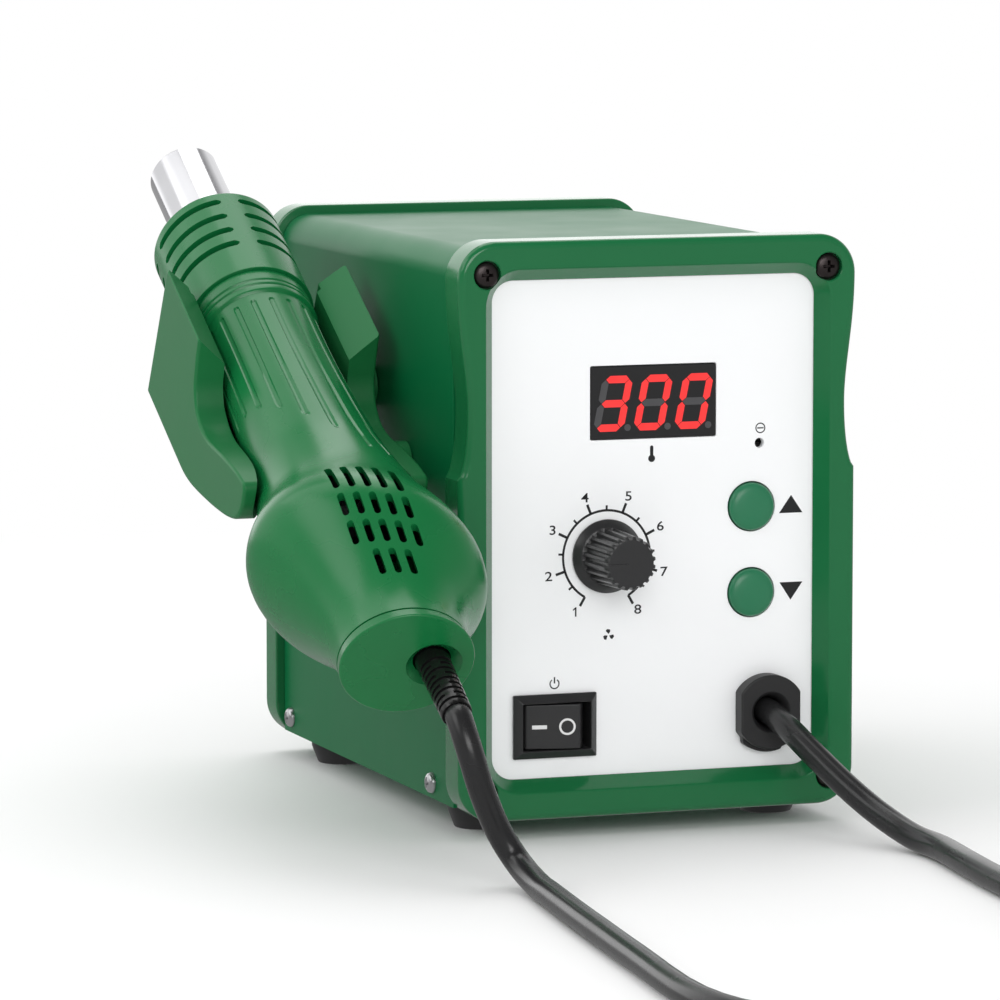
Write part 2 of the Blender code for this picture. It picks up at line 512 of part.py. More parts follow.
def handle_radius(s):
    for (s0, r0), (s1, r1) in zip(OUTER, OUTER[1:]):
        if s0 <= s <= s1:
            return r0 + (r1 - r0) * (s - s0) / (s1 - s0)
    return OUTER[0][1] if s < OUTER[0][0] else OUTER[-1][1]


def blend(t):
    t = min(1, max(0, t))
    return t * t * (3 - 2 * t)


def lean(x, y, s):
    low = blend((30 - s) / 30)
    return s - (0.361 * blend((75 - s) / 45) * (1 - low) + 0.104 * low) * x + 0.131 * low * y


def leaned(thing):
    mesh = bpy.data.meshes.new_from_object(thing.evaluated_get(bpy.context.evaluated_depsgraph_get()))
    thing.modifiers.clear()
    for v in mesh.vertices:
        v.co.z = lean(v.co.x / MM, v.co.y / MM, v.co.z / MM) * MM
    thing.data = cleaned(mesh)
    return thing


handle = leaned(turned("gun_handle", [(r, s) for s, r in OUTER + FRONT + INNER], 40, ring=True, parent=gun_axis))
vent_points, vent_faces = [], []
side_way = math.radians(16)
out = Vector((-math.sin(side_way), -math.cos(side_way), 0))
across = Vector((math.cos(side_way), -math.sin(side_way), 0))
for high, low, count in ((42.6, 31.8, 5), (30.3, 25.0, 5), (24.0, 18.9, 5), (17.6, 11.6, 3)):
    reach = handle_radius((high + low) / 2)
    for k in range(count):
        middle = across * (3.5 + 3.38 * (k - (count - 1) / 2))
        x = (middle + out * reach).x
        n = len(vent_points)
        for s in (low, high):
            for r in (reach - 9.0, reach + 4.0):
                for half in (-0.8, 0.8):
                    vent_points.append(middle + out * r + across * half + Vector((0, 0, lean(x, 0, s))))
        vent_faces += [tuple(n + i for i in f) for f in (
            (0, 1, 3, 2), (4, 5, 7, 6), (0, 1, 5, 4), (2, 3, 7, 6), (0, 2, 6, 4), (1, 3, 7, 5))]
work(handle, solid("vent_slots", vent_points, vent_faces, parent=gun_axis, cutter=True))
paint(handle, GREEN, 0.35)

# End cap with the cable's recess, and the ribbed strain relief that leaves it along the gun's axis.
cap = leaned(turned("gun_end_cap", [(0, 0), (14.9, 0), (15.2, 0.4), (14.85, 2.8), (12.4, 2.8), (12.4, 4.8), (0, 4.8)], 32,
                    parent=gun_axis))
RELIEF_R = 3.9
recess = turned("cap_recess", [(0, -4), (6.4, -4), (6.2, 0), (4.7, 1.6), (RELIEF_R + 0.4, 1.6), (RELIEF_R + 0.4, 9), (0, 9)], 24,
                at=(RELIEF_AT, 0, 0), parent=gun_axis, cutter=True)
graph = bpy.context.evaluated_depsgraph_get()
recess_mesh = bpy.data.meshes.new_from_object(recess.evaluated_get(graph))
recess.modifiers.clear()
for v in recess_mesh.vertices:
    v.co.z = lean(v.co.x / MM + RELIEF_AT, v.co.y / MM, v.co.z / MM) * MM
recess.data = cleaned(recess_mesh)
paint(work(cap, recess), GREEN, 0.4)
relief = [(CORD_BORE, RELIEF_END), (RELIEF_TIP, RELIEF_END)]
for k in range(4):
    s = RELIEF_END + 4.2 * k
    relief += [(3.62 + 0.07 * k, s + 0.1), (3.62 + 0.07 * k, s + 3.0), (3.45, s + 3.2), (3.45, s + 4.0)]
relief += [(RELIEF_R, -1.4), (RELIEF_R, 5.4), (5.6, 5.4), (5.6, 6.8), (CORD_BORE, 6.8)]
paint(turned("gun_strain_relief", relief, 16, at=(RELIEF_AT, 0, 0), ring=True, parent=gun_axis), BLACK, 0.6)

# Fan: motor and ring in one frame, and the bladed wheel behind it.
fan = turned("fan_frame", [(0, 57.4), (6.5, 57.4), (6.5, 70), (0, 70)], 24, parent=gun_axis)
fan_ring = turned("fan_ring", [(14.6, 50), (15.5, 50), (15.5, 61.5), (14.6, 61.5)], 32, ring=True, parent=gun_axis, cutter=True)
arms = []
for k in range(3):
    t = math.tau * k / 3 + 0.3
    c, s = math.cos(t), math.sin(t)
    arms.append([(c * r - s * h, s * r + c * h, z) for z in (58, 61) for r, h in ((5, -1), (15, -1), (15, 1), (5, 1))])
arm_points = [p for arm in arms for p in arm]
arm_faces = [tuple(8 * k + i for i in f) for k in range(3) for f in (
    (0, 1, 2, 3), (4, 5, 6, 7), (0, 1, 5, 4), (1, 2, 6, 5), (2, 3, 7, 6), (3, 0, 4, 7))]
fan_arms = solid("fan_arms", arm_points, arm_faces, parent=gun_axis, cutter=True)
work(work(fan, fan_arms, "UNION"), fan_ring, "UNION")
paint(fan, BLACK, 0.5)
wheel = turned("fan_impeller", [(0, -3), (3.5, -3), (5.5, -1.5), (5.5, 3), (0, 3)], 24, at=(0, 0, 53.8), parent=gun_axis)
blade_points, blade_faces = [], []
for k in range(7):
    n = len(blade_points)
    for r in (4.6, 9.4, 14.1):
        pitch = math.radians(38 - 1.4 * (r - 4.6))
        reach = 2.6 / math.sin(pitch) if r < 5 else 2.7 / math.sin(pitch)
        for a, b in ((-reach, -0.45), (reach, -0.45), (reach, 0.45), (-reach, 0.45)):
            over = a * math.cos(pitch) - b * math.sin(pitch)
            high = a * math.sin(pitch) + b * math.cos(pitch)
            t = math.tau * k / 7 + over / r * (0.62 if r > 5 else 0.5)
            blade_points.append((r * math.cos(t), r * math.sin(t), high * 0.95))
    for j in (0, 4):
        blade_faces += [tuple(n + j + i for i in f) for f in ((0, 1, 5, 4), (1, 2, 6, 5), (2, 3, 7, 6), (3, 0, 4, 7))]
    blade_faces += [tuple(n + i for i in range(4)), tuple(n + 8 + i for i in range(4))]
blades = solid("fan_blades", blade_points, blade_faces, at=(0, 0, 53.8), parent=gun_axis, cutter=True)
paint(work(wheel, blades, "UNION"), BLACK, 0.5)

# Slotted collar, steel nozzle and the ceramic heater core inside it.
COLLAR_IN = SPIGOT_R + 0.4
COLLAR_OUT = 15.7
collar = turned("nozzle_collar", [(COLLAR_IN, RING_END + 0.5), (COLLAR_OUT, RING_END + 0.5), (COLLAR_OUT, 166.1), (15.1, 166.7),
                                  (9.3, 166.7), (9.3, 165.3), (COLLAR_IN, 165.3)], 32, ring=True, parent=gun_axis)
slot_points, slot_faces = [], []
for middle in (163, 157, 151.2, 145.5):
    for group in range(4):
        n = len(slot_points)
        for k in range(5):
            t = math.radians(-90 + group * 90 + 8 + 74 * k / 4)
            slot_points += [(r * math.cos(t), r * math.sin(t), z) for r, z in (
                (12.5, middle - 0.7), (17, middle - 0.7), (17, middle + 0.7), (12.5, middle + 0.7))]
        for k in range(4):
            m = n + 4 * k
            slot_faces += [(m, m + 1, m + 5, m + 4), (m + 1, m + 2, m + 6, m + 5), (m + 2, m + 3, m + 7, m + 6), (m + 3, m, m + 4, m + 7)]
        slot_faces += [(n, n + 1, n + 2, n + 3), (n + 16, n + 17, n + 18, n + 19)]
work(collar, solid("collar_slots", slot_points, slot_faces, parent=gun_axis, cutter=True))
paint(collar, GREEN, 0.35)
NOZZLE = 8.7
tube = [(NOZZLE - 0.7, 140.6), (12.9, 140.6), (12.9, 141.6), (NOZZLE, 141.6), (NOZZLE, 197.6), (NOZZLE - 0.7, 197.6)]
paint(turned("nozzle_tube", tube, 36, ring=True, parent=gun_axis), STEEL, 0.2, 1.0)
cross = [(7.4, 1.6), (1.6, 1.6), (1.6, 7.4), (-1.6, 7.4), (-1.6, 1.6), (-7.4, 1.6), (-7.4, -1.6), (-1.6, -1.6), (-1.6, -7.4),
         (1.6, -7.4), (1.6, -1.6), (7.4, -1.6)]
disc = [tuple(7.7 * a / math.hypot(*p) for a in p) for p in cross]
core_rings = [[(x, y, z) for x, y in ring] for ring, z in ((disc, 143), (disc, 146.3), (cross, 146.3), (cross, 190))]
paint(loft("heater_core", core_rings, parent=gun_axis), (0.75, 0.72, 0.65), 0.7)

# Holder: a moulded trough on the box's left side that the gun drops into from above, on two bosses.
side_outline = [(136.8, -21), (136.8, 14.5), (106.9, 14.5), (106.3, 9.0), (104.8, 2.6), (101.4, -1.4), (95.8, -3.3),
                (89.5, -2.2), (78.1, 1.8), (68, 4.8), (62.1, 5.8), (60.6, 4.4), (60.4, 0), (62, -4), (64.4, -6.3), (70, -9.5),
                (79, -13.4), (90, -17.5), (97.1, -19.8), (102.5, -20.8)]
trough = plate("gun_holder", ([(-u, s) for s, u in side_outline],), "YZ", -HOLDER_HALF, HOLDER_HALF, parent=gun_axis)
BOSSES = ((118.0, -8.0), (88.0, -9.0))
boss_end = LID_LEFT - GAP - GUN_AT[0]
for k, (s, u) in enumerate(BOSSES):
    boss = turned(f"holder_boss_{k}", [(0, HOLDER_HALF - 2), (5, HOLDER_HALF - 2), (5, boss_end), (0, boss_end)], 20,
                  at=(0, -u, s), along=(1, 0, 0), parent=gun_axis, cutter=True)
    work(trough, boss, "UNION")
bed_rings = []
for s in (45, 50, 54, 58, 62, 66, 70, 74, 78, 83, 88, 93, 97.5, 150):
    r = max(HOLDER_BORE, handle_radius(min(s, 110)) + 1.0)
    half = [(0, -r)] + [(r * math.sin(math.radians(a)), -r * math.cos(math.radians(a))) for a in (15, 30, 45, 60, 75, 90)]
    wide = max(r, HOLDER_BORE)
    half += [(wide, 8.0), (max(22.8, wide + 0.5), 15.0), (max(22.8, wide + 0.5), 40)]
    ring = half + [(-x, u) for x, u in reversed(half[1:])]
    bed_rings.append([(x, -u, lean(x, -u, s)) for x, u in ring])
work(trough, loft("gun_bed", bed_rings, parent=gun_axis, cutter=True))
seat = [(16.2 * math.cos(math.radians(a)), -16.2 * math.sin(math.radians(a))) for a in range(-180, 1, 10)]
seat = [(x, -y) for x, y in arc(0, 0, 16.2, -180, 0, 19)] + [(16.2, -30), (-16.2, -30)]
work(trough, plate("collar_seat", (seat,), "XY", RING_END + 0.1, 150, parent=gun_axis, cutter=True))
for k, (s, u) in enumerate(BOSSES):
    pilot = turned(f"boss_pilot_{k}", [(0, 17.5), (SCREW_HOLE + 0.1, 17.5), (SCREW_HOLE + 0.1, 40), (0, 40)], 10,
                   at=(0, -u, s), along=(1, 0, 0), parent=gun_axis, cutter=True)
    work(trough, pilot)
    work(lid, pilot)
    head = [(0, 0), (1.3, 0.08), (2.3, 0.5), (2.8, 1.1), (2.8, 1.7), (SCREW, 1.7)]
    thing = turned("holder_screw_" + ("front", "back")[k], head + [(SCREW, 11.8), (0, 11.8)], 12,
                   at=(boss_end + GAP + LID_SHEET + GAP + 1.7, -u, s), along=(-1, 0, 0), parent=gun_axis)
    paint(thing, STEEL, 0.3, 1.0)
paint(trough, GREEN, 0.35)


# The gun's cable: out of the strain relief, down to the bench, a three-turn coil, and back to the bushing.
def smooth(points, step):
    line = []
    for k in range(len(points) - 1):
        a, b = Vector(points[max(k - 1, 0)]), Vector(points[k])
        c, d = Vector(points[k + 1]), Vector(points[min(k + 2, len(points) - 1)])
        for j in range(20):
            t = j / 20
            line.append(0.5 * (2 * b + (c - a) * t + (2 * a - 5 * b + 4 * c - d) * t * t + (3 * b - a - 3 * c + d) * t ** 3))
    line.append(Vector(points[-1]))
    length = sum((q - p).length for p, q in zip(line, line[1:]))
    count = round(length / step)
    want, path, run = 0.0, [], 0.0
    for p, q in zip(line, line[1:]):
        part = (q - p).length
        while want <= run + part and len(path) < count:
            path.append(p.lerp(q, (want - run) / part))
            want += length / count
        run += part
    return path + [line[-1]]


def cord(name, points, step):
    path = smooth(points, step)
    data = bpy.data.curves.new(name, "CURVE")
    data.dimensions = "3D"
    line = data.splines.new("POLY")
    line.points.add(len(path) - 1)
    for point, at in zip(line.points, path):
        point.co = (*(at * MM), 1)
    data.bevel_depth = CORD * MM
    data.bevel_resolution = 2
    data.use_fill_caps = True
    drawn = bpy.data.objects.new(name + "_line", data)
    mesh = bpy.data.meshes.new_from_object(drawn)
    bpy.data.objects.remove(drawn)
    mesh.name = name
    return paint(place(name, cleaned(mesh), (0, 0, 0), (0, 0, 1), root, False), (0.06, 0.06, 0.06), 0.5)


rise = math.radians(GUN_RISE)


def on_axis(s):
    return (GUN_AT[0] + RELIEF_AT, GUN_AT[1] + s * math.cos(rise), GUN_AT[2] + s * math.sin(rise))


FLOOR = CORD - FOOT
cx, cy = COIL_AT


def coil_side(turn):
    reach = COIL_R + COIL_HALF + CORD + 0.15
    return (cx + reach * math.cos(math.radians(turn)), cy + reach * math.sin(math.radians(turn)), FLOOR)


cord("cord_gun_lead", [on_axis(RELIEF_END - GAP), on_axis(-21), (-66.8, -58.0, 26.5), (-63.8, -58, 17), (-59.6, -57, 8),
                       (-56, -60, 1.2), (-56, -72, FLOOR), (-57.7, -86, FLOOR), (-60.6, -110, FLOOR), (-62.9, -131, FLOOR),
                       (-66, -160, FLOOR), (-70, -205, FLOOR), (-63, -229, FLOOR), (-45, -245, FLOOR), (-18, -249, FLOOR),
                       (8, -240, FLOOR), (22, -221, FLOOR), (27, -200, FLOOR), coil_side(203)], 9)
coil = turned("cord_coil", [(COIL_R + x, FLOOR + z) for x, z in (
    (-11, -2.9), (11, -2.9), (COIL_HALF, -1.2), (COIL_HALF, 1.2), (11, 2.9), (-11, 2.9), (-COIL_HALF, 1.2), (-COIL_HALF, -1.2))],
    40, at=(cx, cy, 0), ring=True)
paint(coil, (0.06, 0.06, 0.06), 0.5)
cord("cord_panel_lead", [(gx, 10, gz), (gx, 2, gz), (29.6, -8, 19.2), (32.4, -16, 14.4), (36.5, -25, 8.4), (41, -34, 3),
                         (44.8, -45, -0.8), (46.2, -58, FLOOR), (43.6, -79.7, FLOOR), (41.4, -100.7, FLOOR),
                         (40.6, -114, FLOOR), coil_side(131)], 8)
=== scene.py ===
"""Hot air rework station: a green box with a white digital panel, and a hot air gun in a holder on its left side."""
import math

import bmesh
import bpy
from mathutils import Matrix, Vector


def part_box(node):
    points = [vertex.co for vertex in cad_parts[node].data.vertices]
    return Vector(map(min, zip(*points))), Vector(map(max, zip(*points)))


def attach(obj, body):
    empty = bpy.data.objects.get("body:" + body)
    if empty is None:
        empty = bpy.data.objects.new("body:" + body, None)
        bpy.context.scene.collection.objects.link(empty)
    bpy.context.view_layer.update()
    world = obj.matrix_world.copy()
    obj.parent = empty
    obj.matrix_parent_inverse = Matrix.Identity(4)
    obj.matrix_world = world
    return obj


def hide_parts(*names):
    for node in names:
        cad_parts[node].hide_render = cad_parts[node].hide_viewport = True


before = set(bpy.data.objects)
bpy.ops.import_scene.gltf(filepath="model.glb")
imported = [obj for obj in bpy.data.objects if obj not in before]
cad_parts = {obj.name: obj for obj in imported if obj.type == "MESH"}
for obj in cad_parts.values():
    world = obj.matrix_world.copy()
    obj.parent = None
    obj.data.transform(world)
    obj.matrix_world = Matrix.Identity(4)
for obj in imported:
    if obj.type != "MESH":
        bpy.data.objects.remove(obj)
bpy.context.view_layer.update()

# Camera: solved from the straight edges and the dial of the photograph, 218 mm lens on a 36 mm sensor.
# Sizes are written in millimetres in the station's own frame: the front face lies in y = 0, its middle in x = 0,
# and the frames stand on z = 0. STATION takes them to the row frame.
low, high = (Vector(corner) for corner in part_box("front_frame"))
FRONT_MIDDLE = Vector(((low.x + high.x) / 2, low.y, low.z))
STATION = Matrix.Translation(FRONT_MIDDLE) @ Matrix.Scale(0.001, 4)


def spot(x, y, z):
    return STATION @ Vector((x, y, z))


eye = bpy.data.cameras.new("photo_camera")
eye.lens = 218.4
eye.sensor_width = 36
eye.clip_end = 20
camera = bpy.data.objects.new("photo_camera", eye)
camera.location = spot(-500.7, -1301.3, 230.1)
camera.rotation_euler = (math.radians(90 - 6.417), 0, math.radians(-19.527))
bpy.context.scene.collection.objects.link(camera)
bpy.context.scene.camera = camera
bpy.context.scene.view_settings.view_transform = "Standard"


# Light and ground: a white sweep that keeps the object's shadow, two soft boxes above, one at the left and one in
# front, and surroundings that are white to the camera, bright behind and dim in front and overhead in reflections.
class Wire:
    """A socket that takes part in sums, so that a pattern is written as the sum it is."""

    def __init__(self, finish, socket):
        self.finish = finish
        self.socket = socket

    def maths(self, operation, *values):
        return self.finish.node("ShaderNodeMath", {"operation": operation}, *values)

    def __add__(self, other):
        return self.maths("ADD", self, other)

    def __sub__(self, other):
        return self.maths("SUBTRACT", self, other)

    def __mul__(self, other):
        return self.maths("MULTIPLY", self, other)


class Finish:
    """A material whose pattern is built from nodes."""

    def __init__(self, name, **constants):
        self.skin = bpy.data.materials.new(name)
        self.skin.use_nodes = True
        self.tree = self.skin.node_tree
        self.shader = self.tree.nodes["Principled BSDF"]
        self.set(**constants)

    def node(self, kind, settings, *values, out=0, **named):
        made = self.tree.nodes.new(kind)
        for key, value in settings.items():
            setattr(made, key, value)
        for key, value in list(enumerate(values)) + list(named.items()):
            socket = made.inputs[key.replace("_", " ") if isinstance(key, str) else key]
            if isinstance(value, Wire):
                self.tree.links.new(value.socket, socket)
            elif value is not None:
                socket.default_value = value
        return Wire(self, made.outputs[out])

    def where(self):
        return self.node("ShaderNodeTexCoord", {}, out="Object")

    def axes(self):
        place = self.where()
        split = self.tree.nodes.new("ShaderNodeSeparateXYZ")
        self.tree.links.new(place.socket, split.inputs[0])
        return [Wire(self, split.outputs[k]) for k in range(3)]

    def noise(self, scale, detail=3.0, rough=0.5, vector=None):
        place = vector or self.where()
        return self.node("ShaderNodeTexNoise", {}, Vector=place, Scale=scale, Detail=detail, Roughness=rough)

    def spread(self, value, low, high, first, last):
        return self.node("ShaderNodeMapRange", {"clamp": True}, value, low, high, first, last)

    def mix(self, share, first, second):
        return self.node("ShaderNodeMix", {"data_type": "RGBA"}, Factor=share, A=first, B=second, out="Result")

    def set(self, **inputs):
        for key, value in inputs.items():
            socket = self.shader.inputs[key.replace("_", " ")]
            if isinstance(value, Wire):
                self.tree.links.new(value.socket, socket)
            else:
                socket.default_value = value
        return self

    def bump(self, height, strength, distance):
        made = self.node("ShaderNodeBump", {}, Strength=strength, Distance=distance, Height=height)
        return self.set(Normal=made)


def colour(r, g, b):
    """The colour that renders as these 0 to 255 values under plain light."""
    return tuple(c / 255 / 12.92 if c <= 10 else ((c / 255 + 0.055) / 1.055) ** 2.4 for c in (r, g, b)) + (1,)


def lamp(name, place, aim, width, height, power):
    light = bpy.data.lights.new(name, "AREA")
    light.shape = "RECTANGLE"
    light.size, light.size_y, light.energy = width, height, power
    made = bpy.data.objects.new(name, light)
    made.location = place
    made.rotation_euler = (Vector(aim) - Vector(place)).to_track_quat("-Z", "Y").to_euler()
    bpy.context.scene.collection.objects.link(made)


gun_side = spot(-75, 110, 130)
lamp("overhead_box", gun_side + Vector((-0.75, 0.35, 1.12)), gun_side, 1.0, 1.2, 4.6)
lamp("overhead_strip", gun_side + Vector((0.17, 0.44, 1.12)), gun_side, 0.64, 1.3, 5.2)
lamp("left_box", gun_side + Vector((-1.3, -0.36, 0.86)), gun_side, 0.8, 0.8, 3.6)
lamp("front_box", (-0.4, -2.2, 0.9), (0, 0, 0.06), 1.4, 1.0, 17)

sky = bpy.data.worlds.new("white_studio")
bpy.context.scene.world = sky
sky.use_nodes = True
nodes, links = sky.node_tree.nodes, sky.node_tree.links


def world_sum(operation, *values, clamp=True):
    made = nodes.new("ShaderNodeMath")
    made.operation = operation
    made.use_clamp = clamp
    for socket, value in zip(made.inputs, values):
        if isinstance(value, bpy.types.NodeSocket):
            links.new(value, socket)
        else:
            socket.default_value = value
    return made.outputs[0]


def world_ramp(value, *span):
    made = nodes.new("ShaderNodeMapRange")
    links.new(value, made.inputs[0])
    for socket, number in zip(made.inputs[1:], span):
        socket.default_value = number
    return made.outputs[0]


SKY_FOR_DIFFUSE = 0.72
rays = nodes.new("ShaderNodeLightPath")
toward = nodes.new("ShaderNodeTexCoord")
split = nodes.new("ShaderNodeSeparateXYZ")
links.new(toward.outputs["Generated"], split.inputs[0])
low_sky = world_ramp(split.outputs["Z"], 0.45, 0.75, 1.0, 0.2)
behind = world_ramp(split.outputs["Y"], -0.1, 0.45, 0.22, 1.0)
wall = world_ramp(split.outputs["Y"], 0.85, 0.93, 1.0, 1.6)
lit_sky = world_sum("MULTIPLY", world_sum("MULTIPLY", low_sky, behind), wall, clamp=False)
glossy_sky = world_sum("MULTIPLY", lit_sky, rays.outputs["Is Glossy Ray"], clamp=False)
seen = world_sum("MAXIMUM", rays.outputs["Is Camera Ray"], rays.outputs["Is Transmission Ray"])
others = world_sum("SUBTRACT", 1.0, world_sum("MAXIMUM", seen, rays.outputs["Is Glossy Ray"]))
plain_sky = world_sum("ADD", seen, world_sum("MULTIPLY", others, SKY_FOR_DIFFUSE))
links.new(world_sum("ADD", plain_sky, glossy_sky, clamp=False), nodes["Background"].inputs["Strength"])
nodes["Background"].inputs["Color"].default_value = (1, 1, 1, 1)

FOOT_BOTTOM = -4.5
ground = spot(0, 0, FOOT_BOTTOM).z
sweep = bpy.data.meshes.new("floor")
sweep.from_pydata([(-6, -6, ground), (6, -6, ground), (6, 6, ground), (-6, 6, ground)], [], [(0, 1, 2, 3)])
floor = bpy.data.objects.new("floor", sweep)
bpy.context.scene.collection.objects.link(floor)
paper = Finish("white_paper", Base_Color=(0.88, 0.88, 0.88, 1), Roughness=0.7, Specular_IOR_Level=0.2)
glow = paper.tree.nodes.new("ShaderNodeEmission")
glow.inputs["Color"].default_value = (1, 1, 1, 1)
ends = paper.tree.nodes.new("ShaderNodeMixShader")
px, py = paper.axes()[:2]
back = py - 0.02
away = paper.node("ShaderNodeMath", {"operation": "SQRT"}, px * px + back * back)
paper.tree.links.new(paper.spread(away, 0.2, 0.55, 0.0, 1.0).socket, ends.inputs[0])
paper.tree.links.new(paper.shader.outputs[0], ends.inputs[1])
paper.tree.links.new(glow.outputs[0], ends.inputs[2])
DIM_FLOOR = 0.4
mirror_side = paper.tree.nodes.new("ShaderNodeMixShader")
ray = paper.tree.nodes.new("ShaderNodeLightPath")
dim = paper.tree.nodes.new("ShaderNodeEmission")
dim.inputs["Strength"].default_value = DIM_FLOOR
paper.tree.links.new(ray.outputs["Is Glossy Ray"], mirror_side.inputs[0])
paper.tree.links.new(ends.outputs[0], mirror_side.inputs[1])
paper.tree.links.new(dim.outputs[0], mirror_side.inputs[2])
paper.tree.links.new(mirror_side.outputs[0], paper.tree.nodes["Material Output"].inputs["Surface"])
sweep.materials.append(paper.skin)


# Cord: the gun's one lead, soft black jacket, 6 mm thick, out of the strain relief, down to the bench and out of the
# picture, three turns of a flat coil, over them, and back to the bushing in the front panel.
def moulded(name, shade, rough=0.35, vary=0.1, grain=2400, depth=0.00002, **more):
    """Moulded plastic or rubber: spark-eroded grain, slow drift of colour and of gloss."""
    made = Finish(name, **more)
    slow = made.noise(45, 4)
    dark = tuple(c * (1 - vary) for c in shade[:3]) + (1,)
    pale = tuple(min(1, c * (1 + vary)) for c in shade[:3]) + (1,)
    made.set(Base_Color=made.mix(slow, dark, pale), Roughness=slow * 0.12 + (rough - 0.06))
    return made.bump(made.noise(grain, 2), 0.2, depth)


CORD = 6.0
BENCH = FOOT_BOTTOM + CORD / 2
COIL = (71.0, -162.0)
TURNS = 3
OUTER_TURN = 39.9
GUN_CAP = Vector((-74.0, -36.6, 43.3))
ALONG = Vector((0, math.cos(math.radians(30)), 0.5))
RELIEF_AT = 6.1


def relief(s):
    return tuple(GUN_CAP + Vector((RELIEF_AT, 0, 0)) + ALONG * s)


route = [relief(-18.7), relief(-21), (-66.8, -58.0, 26.5), (-63.8, -58, 17), (-59.6, -57, 8),
         (-56, -60, 1.2), (-56, -72, BENCH), (-57.7, -86, BENCH), (-60.6, -110, BENCH), (-62.9, -131, BENCH),
         (-66, -160, BENCH), (-70, -205, BENCH), (-63, -229, BENCH), (-45, -245, BENCH), (-18, -249, BENCH),
         (8, -240, BENCH), (22, -221, BENCH), (28.5, -200, BENCH), (30.4, -180, BENCH)]
for k in range(TURNS * 14 + 1):
    turn = math.radians(180 - 360 * k / 14)
    reach = OUTER_TURN - (CORD + 0.12) * k / 14
    climb = max(0.0, (k - TURNS * 14 + 3) / 3) * (CORD + 0.3)
    route.append((COIL[0] + reach * math.cos(turn), COIL[1] + reach * math.sin(turn), BENCH + climb))
route += [(48.0, -150, BENCH + 6.4), (44.6, -138, BENCH + 6.4), (41.6, -127, BENCH + 4.5), (40.6, -114, BENCH + 0.6),
          (41.4, -100.7, BENCH), (43.6, -79.7, BENCH), (46.2, -58, BENCH), (44.8, -45, -0.8), (41, -34, 3),
          (36.5, -25, 8.4), (32.4, -16, 14.4), (29.6, -8, 19.2), (28.1, 2, 22.4), (28.1, 10, 22.4)]


def smooth_line(points, pieces):
    """A smooth line through all the points."""
    line = []
    for k in range(len(points) - 1):
        a, b = Vector(points[max(k - 1, 0)]), Vector(points[k])
        c, d = Vector(points[k + 1]), Vector(points[min(k + 2, len(points) - 1)])
        for j in range(pieces):
            t = j / pieces
            bend, twist = 2 * a - 5 * b + 4 * c - d, 3 * b - a - 3 * c + d
            line.append(0.5 * (2 * b + (c - a) * t + bend * t * t + twist * t ** 3))
    return line + [Vector(points[-1])]


def neat(mesh, to=None):
    """Puts a mesh in its place, joins its doubled points and turns its faces outwards."""
    if to:
        mesh.transform(to)
    work = bmesh.new()
    work.from_mesh(mesh)
    bmesh.ops.remove_doubles(work, verts=work.verts, dist=1e-6)
    bmesh.ops.recalc_face_normals(work, faces=work.faces)
    work.to_mesh(mesh)
    work.free()
    return mesh


def arc(cx, cy, r, start, end, count):
    turns = [math.radians(start + (end - start) * k / (count - 1)) for k in range(count)]
    return [(cx + r * math.cos(t), cy + r * math.sin(t)) for t in turns]


def slab(outlines, low, high, edge=0.0, plane="XZ", to=STATION, fine=2):
    """A plate between two heights from its outline and the outlines of its holes, with its edges rounded."""
    flat = bpy.data.curves.new("outline", "CURVE")
    flat.dimensions = "2D"
    flat.fill_mode = "BOTH"
    flat.extrude = (high - low) / 2 - edge
    flat.bevel_depth = edge
    flat.offset = -edge
    flat.bevel_resolution = fine
    for outline in outlines:
        line = flat.splines.new("POLY")
        line.points.add(len(outline) - 1)
        for point, (a, b) in zip(line.points, outline):
            point.co = (a, b, 0, 1)
        line.use_cyclic_u = True
    drawn = bpy.data.objects.new("outline", flat)
    mesh = bpy.data.meshes.new_from_object(drawn)
    bpy.data.objects.remove(drawn)
    middle = (low + high) / 2
    for v in mesh.vertices:
        a, b, t = v.co
        v.co = {"XY": (a, b, middle + t), "XZ": (a, middle + t, b), "YZ": (middle + t, a, b)}[plane]
    return neat(mesh, to)


def show(name, mesh, body, finish, slot, *nodes, angle=30):
    """Puts a finished mesh in the scene, riding on its body and standing for its CAD nodes."""
    mesh.polygons.foreach_set("use_smooth", [True] * len(mesh.polygons))
    mesh.set_sharp_from_angle(angle=math.radians(angle))
    rough = bpy.data.objects.new("rough", mesh)
    bpy.context.scene.collection.objects.link(rough)
    flat = rough.modifiers.new("flat faces stay flat", "WEIGHTED_NORMAL")
    flat.keep_sharp = True
    mesh = bpy.data.meshes.new_from_object(rough.evaluated_get(bpy.context.evaluated_depsgraph_get()))
    bpy.data.objects.remove(rough)
    mesh.name = name
    mesh.materials.clear()
    for skin in finish if isinstance(finish, (list, tuple)) else [finish]:
        mesh.materials.append(skin.skin)
    piece = bpy.data.objects.new(name, mesh)
    bpy.context.scene.collection.objects.link(piece)
    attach(piece, body)
    if nodes:
        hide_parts(*nodes)
    return piece


lead = smooth_line(route, 4)
lead_length = sum((q - p).length for p, q in zip(lead, lead[1:])) / 1000
tube = bpy.data.curves.new("gun_cord", "CURVE")
tube.dimensions = "3D"
strand = tube.splines.new("POLY")
strand.points.add(len(lead) - 1)
for point, place in zip(strand.points, lead):
    point.co = (*spot(*place), 1)
strand.use_smooth = True
tube.bevel_depth = CORD / 2000
tube.bevel_resolution = 6
tube.use_fill_caps = True
tube.materials.append(moulded("cord_jacket", colour(34, 34, 35), 0.27, 0.06).skin)
gun_cord = bpy.data.objects.new("gun_cord", tube)
bpy.context.scene.collection.objects.link(gun_cord)
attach(gun_cord, "station")
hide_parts("cord_gun_lead", "cord_coil", "cord_panel_lead")


